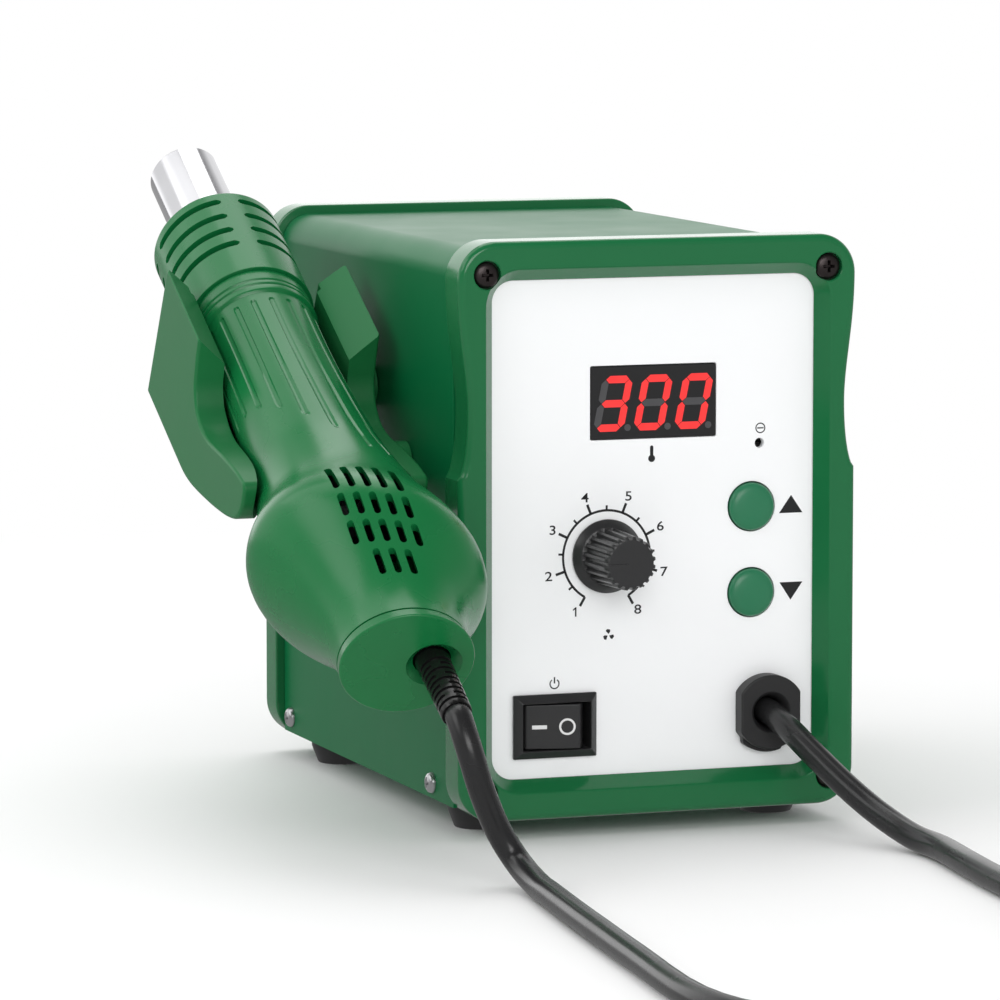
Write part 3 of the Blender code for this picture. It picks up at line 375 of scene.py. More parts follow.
def tie_outline(grow, under):
    """The strap's cross-section round the three turns, open space inside."""
    far, near = COIL[1] + 41.5 + grow, COIL[1] + 23.0 - grow
    top = BENCH + CORD / 2 + 0.2 + grow
    one_side = arc(far - 1.6, top - 1.6, 1.6, 90, 0, 6) + [(far, under), (near, under)]
    return one_side + arc(near + 1.6, top - 1.6, 1.6, 180, 90, 6)


strap = moulded("tie_strap", colour(30, 30, 31), 0.55, 0.1, 900, 0.00006)
TIE_HALF = 4.5
tie_lines = [tie_outline(0.5, FOOT_BOTTOM), tie_outline(0, FOOT_BOTTOM + 0.2)]
band = slab(tie_lines, COIL[0] - TIE_HALF, COIL[0] + TIE_HALF, 0.08, "YZ")
tie = show("cord_tie", band, "station", strap, "black_rubber")


# Frames: one green moulded rim in front and one at the back, each with a finger wave in both sides, a rounded outer
# edge, a slope down to the panel and recesses for its four screws.
def loft(rings, to=STATION, looped=False):
    """A body through rings of equally many points."""
    count = len(rings[0])
    faces = []
    for k in range(len(rings) if looped else len(rings) - 1):
        a, b = k * count, (k + 1) % len(rings) * count
        faces += [(a + i, a + (i + 1) % count, b + (i + 1) % count, b + i) for i in range(count)]
    if not looped:
        faces += [tuple(range(count)), tuple((len(rings) - 1) * count + i for i in range(count))]
    mesh = bpy.data.meshes.new("loft")
    mesh.from_pydata([p for ring in rings for p in ring], [], faces)
    return neat(mesh, to)


def lathe(profile, steps=64, to=STATION, ring=False):
    """A body turned about its own z axis from (radius, height) points."""
    turns = [math.tau * k / steps for k in range(steps)]
    return loft([[(r * math.cos(t), r * math.sin(t), z) for t in turns] for r, z in profile], to, ring)


def towards(x, y, z, along, base=STATION):
    """The place (x, y, z) with its own z axis along a direction."""
    turn = Vector((0, 0, 1)).rotation_difference(Vector(along)).to_matrix().to_4x4()
    return base @ Matrix.Translation((x, y, z)) @ turn


def eased(points, radii, loop=False, steps=4):
    """A line with its corners rounded, each by its own radius or all by one."""
    soft = []
    for k, here in enumerate(points):
        here = Vector(here)
        r = radii[k] if isinstance(radii, (list, tuple)) else radii
        if r == 0 or (not loop and k in (0, len(points) - 1)):
            soft.append(tuple(here))
            continue
        before, after = Vector(points[k - 1]), Vector(points[(k + 1) % len(points)])
        one = here.lerp(before, min(0.48, r / max((before - here).length, 1e-9)))
        two = here.lerp(after, min(0.48, r / max((after - here).length, 1e-9)))
        soft += [tuple(one.lerp(here, j / steps).lerp(here.lerp(two, j / steps), j / steps)) for j in range(steps + 1)]
    return soft


def cut(mesh, *tools, how="DIFFERENCE"):
    """The mesh with the tools' shapes taken from it, or added to it."""
    made = [bpy.data.objects.new("shape", m) for m in (mesh, *tools)]
    for thing in made:
        bpy.context.scene.collection.objects.link(thing)
    for thing in made[1:]:
        step = made[0].modifiers.new("cut", "BOOLEAN")
        step.operation, step.solver, step.object = how, "EXACT", thing
    result = bpy.data.meshes.new_from_object(made[0].evaluated_get(bpy.context.evaluated_depsgraph_get()))
    for thing in made:
        bpy.data.objects.remove(thing)
    return neat(result)


HALF_WIDTH, HEIGHT, DEPTH = 49, 134, 150
WAVE_FROM, WAVE_LONG, WAVE_DEEP = 79.4, 45.6, 2.45


def wave(z):
    t = (z - WAVE_FROM) / WAVE_LONG
    if not 0 < t < 1:
        return 0.0
    q = t ** 0.642
    return WAVE_DEEP * (math.sin(math.pi * q) if q < 0.5 else (1 + math.cos(math.tau * (q - 0.5))) / 2)


def frame_ring(inset, corner, y):
    half = HALF_WIDTH - inset
    right = arc(half - corner, inset + corner, corner, -90, 0, 18)
    top = HEIGHT - inset - corner
    right += [(half, min(WAVE_FROM + WAVE_LONG * k / 45, top - 0.01 * (46 - k))) for k in range(46)]
    right += arc(half - corner, top, corner, 0, 90, 18)
    if inset < 2:
        right = [(x - wave(z), z) for x, z in right]
    return [(x, y, z) for x, z in right + [(-x, z) for x, z in reversed(right)]]


FRAME_SCREWS = ((-42.1, 126.4), (42.1, 126.4), (-42.85, 6.85), (42.85, 6.85))
green = moulded("green_plastic", colour(24, 104, 60), 0.17, 0.05)
for name, start, side, rim in (("front_frame", 0, 1, 10.4), ("rear_frame", DEPTH, -1, 9.3)):
    round_edge = [(1.6 - a, 7.4 + a, 1.6 - b) for b, a in arc(0, 0, 1.6, 0, 90, 9)]
    section = round_edge + [(0, 9, rim - 0.5), (0.15, 8.85, rim - 0.15), (0.5, 8.5, rim), (3.5, 5.5, rim)]
    section += [(3.5, 5.5, rim + 4), (5.5, 10.5, rim + 4)]
    section += eased([(5.5, 10.5, 4), (9.3, 5, 4), (6.4, 8.8, 0), (1.7, 7.5, 0)], [0, 0.35, 0.4, 0])
    body = loft([frame_ring(inset, corner, start + side * y) for inset, corner, y in section], looped=True)
    recess = [(0, -1), (3.6, -1), (3.6, -0.05), (3.3, 0.25), (3.3, 2.1), (1.6, 2.1), (1.6, 19), (0, 19)]
    holes = [lathe(recess, 40, towards(x, start, z, (0, side, 0))) for x, z in FRAME_SCREWS]
    show(name, cut(body, *holes), "station", green, "green_plastic", name)


# Cover: one painted steel sheet bent over the top and both sides, with corner tabs for the upper frame screws.
LID_HALF = 46.85
SIDE_SCREWS = ((25.6, 5.9), (134.4, 6.1))
HOLDER_BOSSES = ((118.0, -8.0), (88.0, -9.0))
GUN = STATION @ Matrix.Translation(GUN_CAP) @ Matrix.Rotation(math.radians(-60), 4, "X")
sheet_out = [(LID_HALF, 2.15)] + arc(40, 125, 6.85, 0, 90, 24) + arc(-40, 125, 6.85, 90, 180, 24) + [(-LID_HALF, 2.15)]
sheet_in = [(-45.85, 2.15)] + arc(-40, 125, 5.85, 180, 90, 24) + arc(40, 125, 5.85, 90, 0, 24) + [(45.85, 2.15)]
cover = slab([sheet_out + sheet_in], 10.7, 140.4, 0.12)
tabs = []
for side in (-1, 1):
    tab = [(side * x, z) for x, z in [(38, 118), (46.35, 118)] + arc(40, 125, 6.35, 0, 90, 8) + [(38, 131.35)]]
    tabs += [slab([tab], y, y + 1) for y in (14.7, 135.4)]
cover = cut(cover, *tabs, how="UNION")
lengthways = [(0, 0), (1.7, 0), (1.7, DEPTH), (0, DEPTH)]
drills = [lathe(lengthways, 16, towards(x, 0, z, (0, 1, 0))) for x, z in FRAME_SCREWS[:2]]
through = [(0, -60), (1.7, -60), (1.7, 60), (0, 60)]
drills += [lathe(through, 16, towards(0, y, z, (1, 0, 0))) for y, z in SIDE_SCREWS]
PILOT = [(0, 17.5), (1.7, 17.5), (1.7, 40), (0, 40)]
drills += [lathe(PILOT, 16, towards(0, -u, s, (1, 0, 0), GUN)) for s, u in HOLDER_BOSSES]
painted = moulded("green_paint", colour(6, 102, 58), 0.36, 0.03, 1400, 0.000004, Specular_IOR_Level=0.15)
show("top_cover", cut(cover, *drills), "station", painted, "green_sheet", "top_cover")

# Base: the painted tray under everything. Its shape is right as it is.
for node, skin in (("base_plate", moulded("base_paint", colour(44, 104, 72), 0.35, 0.05, 1400)),
                   ("rear_panel", moulded("rear_paint", colour(44, 108, 74), 0.35, 0.05, 1400))):
    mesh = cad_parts[node].data
    mesh.materials.clear()
    mesh.materials.append(skin.skin)

# Feet: four round tapered feet of black rubber, pressed into the base by their stems.
rubber = moulded("black_rubber", colour(38, 38, 39), 0.5, 0.12, 1500, 0.00004)
for name, x, y in (("foot_lf", -36, 23), ("foot_rf", 36, 23), ("foot_lr", -36, 127), ("foot_rr", 36, 127)):
    foot = [(0, FOOT_BOTTOM), (5.7, FOOT_BOTTOM), (6.0, -4.4), (6.2, -4.1), (7.6, -0.4), (7.75, 1.5), (7.75, 1.85)]
    foot += [(2.5, 1.85), (2.5, 5.05), (0, 5.05)]
    show(name, lathe(foot, 80, STATION @ Matrix.Translation((x, y, 0))), "station", rubber, "black_rubber", name)


# Screws: eight dark cross-head screws in the frames, and four bright ones in the sides that clamp the cover. One
# node tree sets a copy of a screw on every place.
def scattered(name, part, places, skin):
    """Copies of a part, each moved and turned to its place, as one mesh."""
    tree = bpy.data.node_groups.new(name + "_places", "GeometryNodeTree")
    tree.interface.new_socket("Places", in_out="INPUT", socket_type="NodeSocketGeometry")
    part_input = tree.interface.new_socket("Part", in_out="INPUT", socket_type="NodeSocketObject")
    skin_input = tree.interface.new_socket("Finish", in_out="INPUT", socket_type="NodeSocketMaterial")
    tree.interface.new_socket("Copies", in_out="OUTPUT", socket_type="NodeSocketGeometry")
    source, result = tree.nodes.new("NodeGroupInput"), tree.nodes.new("NodeGroupOutput")
    turn = tree.nodes.new("GeometryNodeInputNamedAttribute")
    turn.data_type = "FLOAT_VECTOR"
    turn.inputs["Name"].default_value = "turn"
    as_turn = tree.nodes.new("FunctionNodeEulerToRotation")
    info = tree.nodes.new("GeometryNodeObjectInfo")
    points = tree.nodes.new("GeometryNodeInstanceOnPoints")
    real = tree.nodes.new("GeometryNodeRealizeInstances")
    dressed = tree.nodes.new("GeometryNodeSetMaterial")
    for a, b in ((source.outputs["Places"], points.inputs["Points"]), (source.outputs["Part"], info.inputs["Object"]),
                 (info.outputs["Geometry"], points.inputs["Instance"]), (turn.outputs["Attribute"], as_turn.inputs[0]),
                 (as_turn.outputs[0], points.inputs["Rotation"]), (points.outputs[0], real.inputs[0]),
                 (real.outputs[0], dressed.inputs["Geometry"]), (source.outputs["Finish"], dressed.inputs["Material"]),
                 (dressed.outputs[0], result.inputs[0])):
        tree.links.new(a, b)
    cloud = bpy.data.meshes.new(name)
    cloud.from_pydata([m.to_translation() for m in places], [], [])
    turns = cloud.attributes.new("turn", "FLOAT_VECTOR", "POINT")
    for k, m in enumerate(places):
        turns.data[k].vector = m.to_euler()
    pattern, host = bpy.data.objects.new("pattern", part), bpy.data.objects.new(name, cloud)
    for thing in (pattern, host):
        bpy.context.scene.collection.objects.link(thing)
    step = host.modifiers.new("places", "NODES")
    step.node_group = tree
    step[part_input.identifier] = pattern
    step[skin_input.identifier] = skin.skin if skin else None
    copies = bpy.data.meshes.new_from_object(host.evaluated_get(bpy.context.evaluated_depsgraph_get()))
    for thing in (host, pattern):
        bpy.data.objects.remove(thing)
    return neat(copies)


SMALL = Matrix.Scale(0.001, 4)


def cross_head(head, shank_end):
    """A screw from its head's profile, with a tapered cross pressed into the head."""
    body = lathe(head + [(1.4, head[-1][1]), (1.4, shank_end - 0.5), (0.9, shank_end), (0, shank_end)], 40, SMALL)
    star = [(1, 0.27), (0.27, 0.27), (0.27, 1), (-0.27, 1), (-0.27, 0.27), (-1, 0.27),
            (-1, -0.27), (-0.27, -0.27), (-0.27, -1), (0.27, -1), (0.27, -0.27), (1, -0.27)]
    driven = loft([[(x * w, y * w, z) for x, y in star] for w, z in ((1.7, -1), (1.4, 0.1), (0.8, 1.25))], SMALL)
    return cut(body, driven)


def screw_place(x, y, z, along):
    m = towards(x, y, z, along)
    return Matrix.Translation(m.to_translation()) @ m.to_3x3().normalized().to_4x4()


steel = Finish("bright_steel", Metallic=1.0, Base_Color=(0.52, 0.52, 0.53, 1))
steel.set(Roughness=steel.noise(60, 4) * 0.12 + 0.24)
steel.bump(steel.noise(900, 3), 0.1, 0.00002)
dark_steel = Finish("blackened_steel", Metallic=0.9, Base_Color=colour(66, 60, 60))
dark_steel.set(Roughness=dark_steel.noise(300, 3) * 0.2 + 0.25)
dome = [(0, 0), (1.2, 0.04), (2.1, 0.22), (2.7, 0.5), (3.0, 0.9), (3.05, 1.3), (3.05, 1.8)]
front = [screw_place(x, 0.2, z, (0, 1, 0)) for x, z in FRAME_SCREWS]
rear = [screw_place(x, 149.8, z, (0, -1, 0)) for x, z in FRAME_SCREWS]
corners = ("tl", "tr", "bl", "br")
for end, places, shank_end in (("front", front, 17.5), ("rear", rear, 15.0)):
    name = end + "_frame_screws"
    show(name, scattered(name, cross_head(dome, shank_end), places, dark_steel), "station", dark_steel, "dark_screw",
         *["frame_screw_" + end + "_" + c for c in corners])
pan = [(0, 0), (0.9, 0.03), (1.7, 0.22), (2.2, 0.6), (2.42, 1.1), (2.45, 1.6)]
sides = [screw_place(side * 48.5, y, z, (-side, 0, 0)) for side in (-1, 1) for y, z in SIDE_SCREWS]
show("side_screws", scattered("side_screws", cross_head(pan, 4.0), sides, steel), "station", steel, "bright_steel",
     "side_screw_lf", "side_screw_lr", "side_screw_rf", "side_screw_rr")

# Front panel: white moulded plate with openings for the display, the knob, both buttons, the calibration hole, the
# switch and the cable bushing, and pegs behind that carry the display board.
WINDOW = (0.0, 95.85, 30.9, 16.9)
KNOB = (-11.5, 60.3)
BUTTONS = ((24.5, 70.5), (24.5, 50.3))
TRIM = (26.5, 85.3)
SWITCH = (-24.45, 21.3)
GLAND = (28.1, 22.4)
FACE = 4.3


def circle(cx, cy, r, count=64):
    return [(cx + r * math.cos(math.tau * k / count), cy + r * math.sin(math.tau * k / count)) for k in range(count)]


def rounded(cx, cy, w, h, r, count=8):
    a, b = w / 2 - r, h / 2 - r
    return (arc(cx + a, cy + b, r, 0, 90, count) + arc(cx - a, cy + b, r, 90, 180, count)
            + arc(cx - a, cy - b, r, 180, 270, count) + arc(cx + a, cy - b, r, 270, 360, count))


holes = [rounded(WINDOW[0], WINDOW[1], WINDOW[2] + 0.3, WINDOW[3] + 0.3, 0.4), circle(*KNOB, 4.8),
         circle(*BUTTONS[0], 5.9), circle(*BUTTONS[1], 5.9), circle(*TRIM, 1.15, 32),
         rounded(*SWITCH, 19.0, 13.2, 0.4), circle(*GLAND, 6.1)]
plate = slab([rounded(0, 67, 86.4, 122.4, 10.2, 20)] + holes, FACE, FACE + 2, 0.15)
peg = [(0, FACE + 1), (2.5, FACE + 1), (2.5, 13.9), (1.3, 13.9), (1.3, 17), (0, 17)]
pegs = [lathe(peg, 16, towards(x, 0, z, (0, 1, 0))) for x, z in ((-33, 46), (33, 42), (-33, 106), (33, 106))]
white = moulded("panel_white", colour(247, 248, 249), 0.42, 0.015, 3000, 0.00001)
show("front_panel", cut(plate, *pegs, how="UNION"), "station", white, "panel_white", "front_panel")

# Printed marks: the air dial with its numbers, the arrows beside the buttons, and plain signs for temperature,
# calibration, air and power, all in black ink on the panel.
ink = moulded("black_ink", colour(30, 30, 32), 0.5, 0.05)


def inked(*outlines):
    return slab(outlines, FACE - 0.02, FACE + 0.3)


def joined(*meshes):
    work = bmesh.new()
    for mesh in meshes:
        work.from_mesh(mesh)
    whole = bpy.data.meshes.new("joined")
    work.to_mesh(whole)
    work.free()
    return whole


WIDENED = 1.25


def number(text, x, z, height):
    """A numeral: a plain one drawn here, the others cut from the drawing program's own plain face and widened."""
    if text == "1":
        stroke = ((0.16, -0.5), (0.16, 0.5), (0.04, 0.5), (-0.24, 0.27), (-0.24, 0.12), (-0.01, 0.26), (-0.01, -0.5))
        return inked([(x + a * height, z + b * height) for a, b in stroke])
    face = bpy.data.curves.new("number", "FONT")
    face.body = text
    face.extrude = 0.16
    face.offset = 0.01
    drawn = bpy.data.objects.new("number", face)
    mesh = bpy.data.meshes.new_from_object(drawn)
    bpy.data.objects.remove(drawn)
    xs, ys = [v.co.x for v in mesh.vertices], [v.co.y for v in mesh.vertices]
    size = height / (max(ys) - min(ys))
    mid_x, mid_y = (min(xs) + max(xs)) / 2, (min(ys) + max(ys)) / 2
    for v in mesh.vertices:
        a, b, deep = v.co
        v.co = (x + (a - mid_x) * size * WIDENED, FACE + 0.14 + deep, z + (b - mid_y) * size)
    return neat(mesh, STATION)


def around(r, turn):
    """A point on the dial, turned clockwise from the top."""
    t = math.radians(90 - turn)
    return (KNOB[0] + r * math.cos(t), KNOB[1] - 0.1 + r * math.sin(t))


SWEEP = 300
outside = [around(11.0, -SWEEP / 2 + SWEEP * k / 90) for k in range(91)]
inside = [around(10.45, SWEEP / 2 - SWEEP * k / 90) for k in range(91)]
marks = [inked(outside + inside)]
for k in range(15):
    turn = -SWEEP / 2 + SWEEP * k / 14
    long_tick = k % 2 == 0
    tick_end = 13.1 if long_tick else 11.9
    c, s = math.cos(math.radians(turn)), math.sin(math.radians(turn))
    (ax, az), (bx, bz) = around(10.7, turn), around(tick_end, turn)
    half = 0.31 if long_tick else 0.25
    marks.append(inked([(ax - c * half, az + s * half), (bx - c * half, bz + s * half),
                        (bx + c * half, bz - s * half), (ax + c * half, az - s * half)]))
    if long_tick:
        marks.append(number(str(k // 2 + 1), *around(14.85, turn * 0.99), 2.2))
marks.append(inked([(34.5, 72.8), (31.5, 68.6), (37.4, 68.6)]))
marks.append(inked([(34.5, 48.1), (31.7, 52.3), (37.5, 52.3)]))
bulb = arc(-0.4, 82.6, 0.85, 118, 422, 20)
marks.append(inked(bulb + arc(-0.4, 85.2, 0.42, 0, 180, 8)))
marks.append(inked(circle(26.7, 88.8, 1.25, 32), circle(26.7, 88.8, 0.98, 32)))
marks.append(inked([(25.9, 88.65), (27.5, 88.65), (27.5, 88.95), (25.9, 88.95)]))
for k in range(3):
    t = math.radians(120 * k + 90)
    marks.append(inked([(-11 + r * math.cos(t + a), 41.8 + r * math.sin(t + a)) for r, a in (
        (0.25, 0), (0.9, -0.5), (1.35, -0.3), (1.45, 0.25), (1.2, 0.6), (0.7, 0.5))]))
marks.append(inked(arc(-24.3, 31.0, 1.25, 125, 415, 30) + arc(-24.3, 31.0, 0.95, 415, 125, 30)))
marks.append(inked([(-24.47, 31.1), (-24.13, 31.1), (-24.13, 32.6), (-24.47, 32.6)]))
show("panel_print", joined(*marks), "station", ink, "black_plastic")

# Display: a dark window with three lit red digits behind it, their unlit parts just showing.
glass = Finish("dark_window", IOR=1.5)
glass.set(Base_Color=glass.mix(glass.noise(60), colour(30, 30, 31), colour(36, 36, 37)),
          Roughness=glass.noise(25) * 0.1 + 0.08)
pane = slab([rounded(*WINDOW, 0.4)], 4.15, 7.1, 0.15)
flange = slab([rounded(WINDOW[0], WINDOW[1], 34, 20, 0.6)], 6.6, 7.6)
show("display_window", cut(pane, flange, how="UNION"), "station", glass, "dark_window", "display_window")
lit = Finish("lit_segment", Base_Color=colour(120, 10, 10), Roughness=0.4, Emission_Strength=1.0)
lit.set(Emission_Color=lit.mix(lit.noise(300), colour(240, 44, 46), colour(250, 62, 60)))
unlit = moulded("unlit_segment", colour(74, 74, 76), 0.4, 0.05)
DIGITS = ((-10.0, "abcdg"), (-0.1, "abcdef"), (10.0, "abcdef"))
DIGIT_W, DIGIT_H, BAR, SLANT, SEGMENT_GAP = 7.55, 12.9, 1.7, 0.2, 0.1


def segment(letter, cx):
    w, h, b = DIGIT_W / 2 - BAR / 2, DIGIT_H / 2 - BAR / 2, BAR / 2
    ends = {"a": ((-w, h), (w, h)), "b": ((w, h), (w, 0)), "c": ((w, 0), (w, -h)), "d": ((-w, -h), (w, -h)),
            "e": ((-w, 0), (-w, -h)), "f": ((-w, h), (-w, 0)), "g": ((-w, 0), (w, 0))}[letter]
    (x0, z0), (x1, z1) = ends
    n = math.hypot(x1 - x0, z1 - z0)
    dx, dz = (x1 - x0) / n, (z1 - z0) / n
    outline = []
    near, far = SEGMENT_GAP, n - SEGMENT_GAP
    for along, over in ((near, 0), (near + b, b), (far - b, b), (far, 0), (far - b, -b), (near + b, -b)):
        x, z = x0 + dx * along - dz * over, z0 + dz * along + dx * over
        outline.append((cx + x + z * SLANT, WINDOW[1] - 0.2 + z))
    return slab([outline], 4.12, 4.3)


shining = [segment(letter, x) for x, letters in DIGITS for letter in letters]
resting = [segment(letter, x) for x, letters in DIGITS for letter in "abcdefg" if letter not in letters]
points_off = [slab([circle(x + 3.56, WINDOW[1] - 5.85, 0.79, 24)], 4.12, 4.3) for x, _ in DIGITS]
show("lit_digits", joined(*shining), "station", lit, None)
show("unlit_digits", joined(*resting, *points_off), "station", unlit, "dark_window")

# Buttons: two green domed caps on the display board's switches, one for up and one for down.
button_green = moulded("button_green", colour(40, 118, 82), 0.32, 0.05)
cap = eased([(0, 2.5), (2.5, 2.6), (4.2, 2.85), (5.15, 3.3), (5.6, 3.9), (5.6, 6.6), (6.8, 6.6), (6.8, 7.6),
             (1.5, 7.6), (1.5, 8.5), (0, 8.5)], [0, 0.5, 0.5, 0.4, 0.3, 0, 0, 0, 0, 0, 0])
for name, (x, z) in zip(("up_button", "down_button"), BUTTONS):
    show(name, lathe(cap, 64, towards(x, 0, z, (0, 1, 0))), name, button_green, "button_green", name)

# Air knob: black cap with 20 grip ridges over a smooth skirt, on the control's steel shaft.
RIDGES = 20
black = moulded("black_plastic", colour(46, 46, 47), 0.3, 0.08)


def knob_ring(r, y, tooth):
    ring = []
    for k in range(RIDGES * 12):
        t = math.tau * k / (RIDGES * 12)
        dip = min(1.0, max(0.0, 0.5 + 1.6 * math.cos(RIDGES * t)))
        ring.append(((r - tooth * dip) * math.cos(t), y, (r - tooth * dip) * math.sin(t)))
    return ring


rings = [(3.3, -9.3, 0), (3.3, 4.0, 0), (8.4, 4.0, 0), (8.6, 3.8, 0), (8.6, 3.4, 0), (8.45, 3.2, 0), (7.2, 2.05, 0),
         (7.0, 1.9, 0), (6.75, 1.8, 0.3), (6.7, 1.7, 0.7), (6.66, 1.2, 0.8), (6.3, -10.4, 0.62), (6.26, -11.2, 0.6),
         (6.1, -11.5, 0.5), (5.8, -11.75, 0.3), (5.45, -11.95, 0), (5.1, -12.0, 0)]
knob = loft([knob_ring(*ring) for ring in rings], STATION @ Matrix.Translation((KNOB[0], 0, KNOB[1])))
pointer = slab([[(KNOB[0] - 5.6, KNOB[1] - 0.12), (KNOB[0] - 1.0, KNOB[1] - 0.12),
                 (KNOB[0] - 1.0, KNOB[1] + 0.12), (KNOB[0] - 5.6, KNOB[1] + 0.12)]], -13, -11.85)
show("air_knob", cut(knob, pointer), "knob", black, "black_plastic", "air_knob")

# Power switch: snap-in housing with a sloping frame, and a rocker with an engraved line and ring.
hood = [(8.3, 5.45, 13.0), (8.3, 5.45, 2.2), (8.36, 5.51, 2.0), (8.5, 5.65, 1.9), (8.65, 5.8, 1.98),
        (10.05, 7.3, 3.2), (10.2, 7.45, 3.4), (10.2, 7.45, 4.0), (9.2, 6.3, 4.0), (9.2, 6.3, 22.0)]
rings = [[(x, y, z) for x, z in rounded(0, 0, 2 * w, 2 * h, 0.25, 4)] for w, h, y in hood]
housing = loft(rings, STATION @ Matrix.Translation((SWITCH[0], 0, SWITCH[1])))
show("switch_body", housing, "station", black, "black_plastic", "switch_body")
ROCKER = STATION @ Matrix.Translation((SWITCH[0], 8.0, SWITCH[1])) @ Matrix.Rotation(math.radians(-10), 4, "Z")
outline = eased([(-6.4, -6.1), (6.4, -6.1), (7.6, -3.0), (5.5, 2.5), (2, 4.3), (-2, 4.3), (-5.5, 2.5), (-7.6, -3.0)],
                [0.5, 0.5, 0.8, 0.5, 1, 1, 0.5, 0.8], loop=True)
tipping = slab([outline], -5.15, 5.15, 0.25, "XY", ROCKER)
show("switch_rocker", tipping, "rocker", black, "black_plastic", "switch_rocker")
white_ink = moulded("white_mark", colour(225, 225, 225), 0.5, 0.03)
signs = [slab([[(-4.9, -0.45), (-1.4, -0.45), (-1.4, 0.45), (-4.9, 0.45)]], -6.13, -6.0, to=ROCKER),
         slab([circle(3.4, 0, 1.95, 40), circle(3.4, 0, 1.45, 40)], -6.13, -6.0, to=ROCKER)]
show("rocker_marks", joined(*signs), "rocker", white_ink, None)


# Cable bushing: black moulded strain relief with two flats, a lobe below and a flared bore.
def bushing(r, y, flat=99.0, lobe=0.0):
    ring = []
    for k in range(128):
        t = math.tau * k / 128
        reach = min(r, flat / max(abs(math.cos(t)), 1e-6))
        off = abs((math.degrees(t) - 260 + 180) % 360 - 180)
        reach += lobe * max(0.0, min(1.0, (36 - off) / 6))
        ring.append((reach * math.cos(t), y, reach * math.sin(t)))
    return ring


rings = [bushing(*ring) for ring in (
    (3.3, 13), (3.3, 3.2), (3.7, 1.8), (4.3, 0.6), (4.75, 0.08), (4.95, 0), (8.25, 0, 6.95), (8.5, 0.08, 7.2),
    (8.7, 0.3, 7.4), (8.75, 0.6, 7.45), (8.75, 2.2, 7.45), (8.75, 2.25, 7.4, 0.9), (8.75, 4.0, 7.4, 0.9), (5.8, 4.0),
    (5.8, 13))]
show("cable_gland", loft(rings, STATION @ Matrix.Translation((GLAND[0], 0, GLAND[1])), looped=True), "station", rubber,
     "black_rubber", "cable_gland")


# Gun handle: a green moulded bulb that leans towards the box, with air slots on top and 20 grip flutes up to the
# grooved ring at its mouth.
def blend(t):
    t = min(1, max(0, t))
    return t * t * (3 - 2 * t)


def lean(x, y, s):
    low = blend((30 - s) / 30)
    return s - (0.361 * blend((75 - s) / 45) * (1 - low) + 0.104 * low) * x + 0.131 * low * y


OUTER = [(3.1, 14.9), (6, 14.95), (10, 15.7), (15, 17.5), (20, 20.0), (26, 23.2), (30, 24.9), (33.5, 25.5), (37, 25.0),
         (41, 23.8), (47, 21.4), (54, 19.3), (62, 17.6), (71, 16.1), (80, 15.35), (90, 14.8), (98.5, 14.4), (111, 14.1),
         (126, 14.2)]
bulb_line = smooth_line([(s, r, 0) for s, r in OUTER], 12)


def handle_radius(s):
    for p, q in zip(bulb_line, bulb_line[1:]):
        if p.x <= s <= q.x:
            return p.y + (q.y - p.y) * (s - p.x) / max(q.x - p.x, 1e-9)
    return OUTER[0][1] if s < OUTER[0][0] else OUTER[-1][1]


FLUTES = 20
ROUND = FLUTES * 18


def fluted(r, s):
    ring = []
    for k in range(ROUND):
        t = math.tau * k / ROUND
        x, up = r * math.sin(t), r * math.cos(t)
        side = ((math.degrees(t) + 9) % 18 - 9) * math.pi / 180 * r / 0.62
        start = min(90, max(60, 68 - 1.6 * x))
        past = max(0.0, (s - 123.4) / 0.62, (start + 0.62 - s) / 0.62)
        q = side * side + past * past
        dip = 0.34 * min(1, (1 - q) * 2.4) if q < 1 else 0.0
        ring.append((x * (1 - dip / r), -up * (1 - dip / r), lean(x, -up, s)))
    return ring


def plain(r, s, count=ROUND):
    turns = [math.tau * k / count for k in range(count)]
    return [(r * math.sin(t), -r * math.cos(t), lean(r * math.sin(t), -r * math.cos(t), s)) for t in turns]


heights = [3.1 + 1.3 * k for k in range(44)] + [60.3 + 0.6 * k for k in range(52)] + [92 + 3.2 * k for k in range(10)]
heights += [122 + 0.3 * k for k in range(14)]
rings = [fluted(handle_radius(s), s) for s in heights]
mouth = eased([(126.2, 14.2), (126.9, 14.9), (128.5, 14.9), (128.9, 14.5), (129.3, 14.9), (130.3, 14.9),
               (130.7, 14.5), (131.1, 14.9), (134.4, 14.9), (134.4, 13.3), (140, 13.3), (140, 11.9), (126, 12.0)],
              [0, 0.3, 0.1, 0, 0.1, 0.1, 0, 0.1, 0.25, 0, 0, 0, 0], steps=3)
INNER = [(111, 12.1), (90, 12.7), (71, 14.1), (63, 15.85), (54, 17.5), (47, 19.5), (41, 21.9), (33.5, 23.6),
         (26, 21.3), (20, 18.1), (15, 15.6), (10, 13.8), (3.1, 12.9)]
rings += [plain(r, s) for s, r in mouth + INNER]
handle = loft(rings, GUN, looped=True)
side_way = math.radians(16)
outward = Vector((-math.sin(side_way), -math.cos(side_way), 0))
across = Vector((math.cos(side_way), -math.sin(side_way), 0))
base = Matrix((across, Vector((0, 0, 1)), outward)).transposed().to_4x4()
slots = []
for top, bottom, count in ((42.6, 31.8, 5), (30.3, 25.0, 5), (24.0, 18.9, 5), (17.6, 11.6, 3)):
    reach = handle_radius((top + bottom) / 2)
    for k in range(count):
        middle = across * (3.5 + 3.38 * (k - (count - 1) / 2)) + outward * reach
        high, low = lean(middle.x, 0, top), lean(middle.x, 0, bottom)
        place = GUN @ Matrix.Translation(middle + Vector((0, 0, (high + low) / 2))) @ base
        slots.append(slab([rounded(0, 0, 1.6, high - low, 0.75, 6)], -9, 4, plane="XY", to=place))
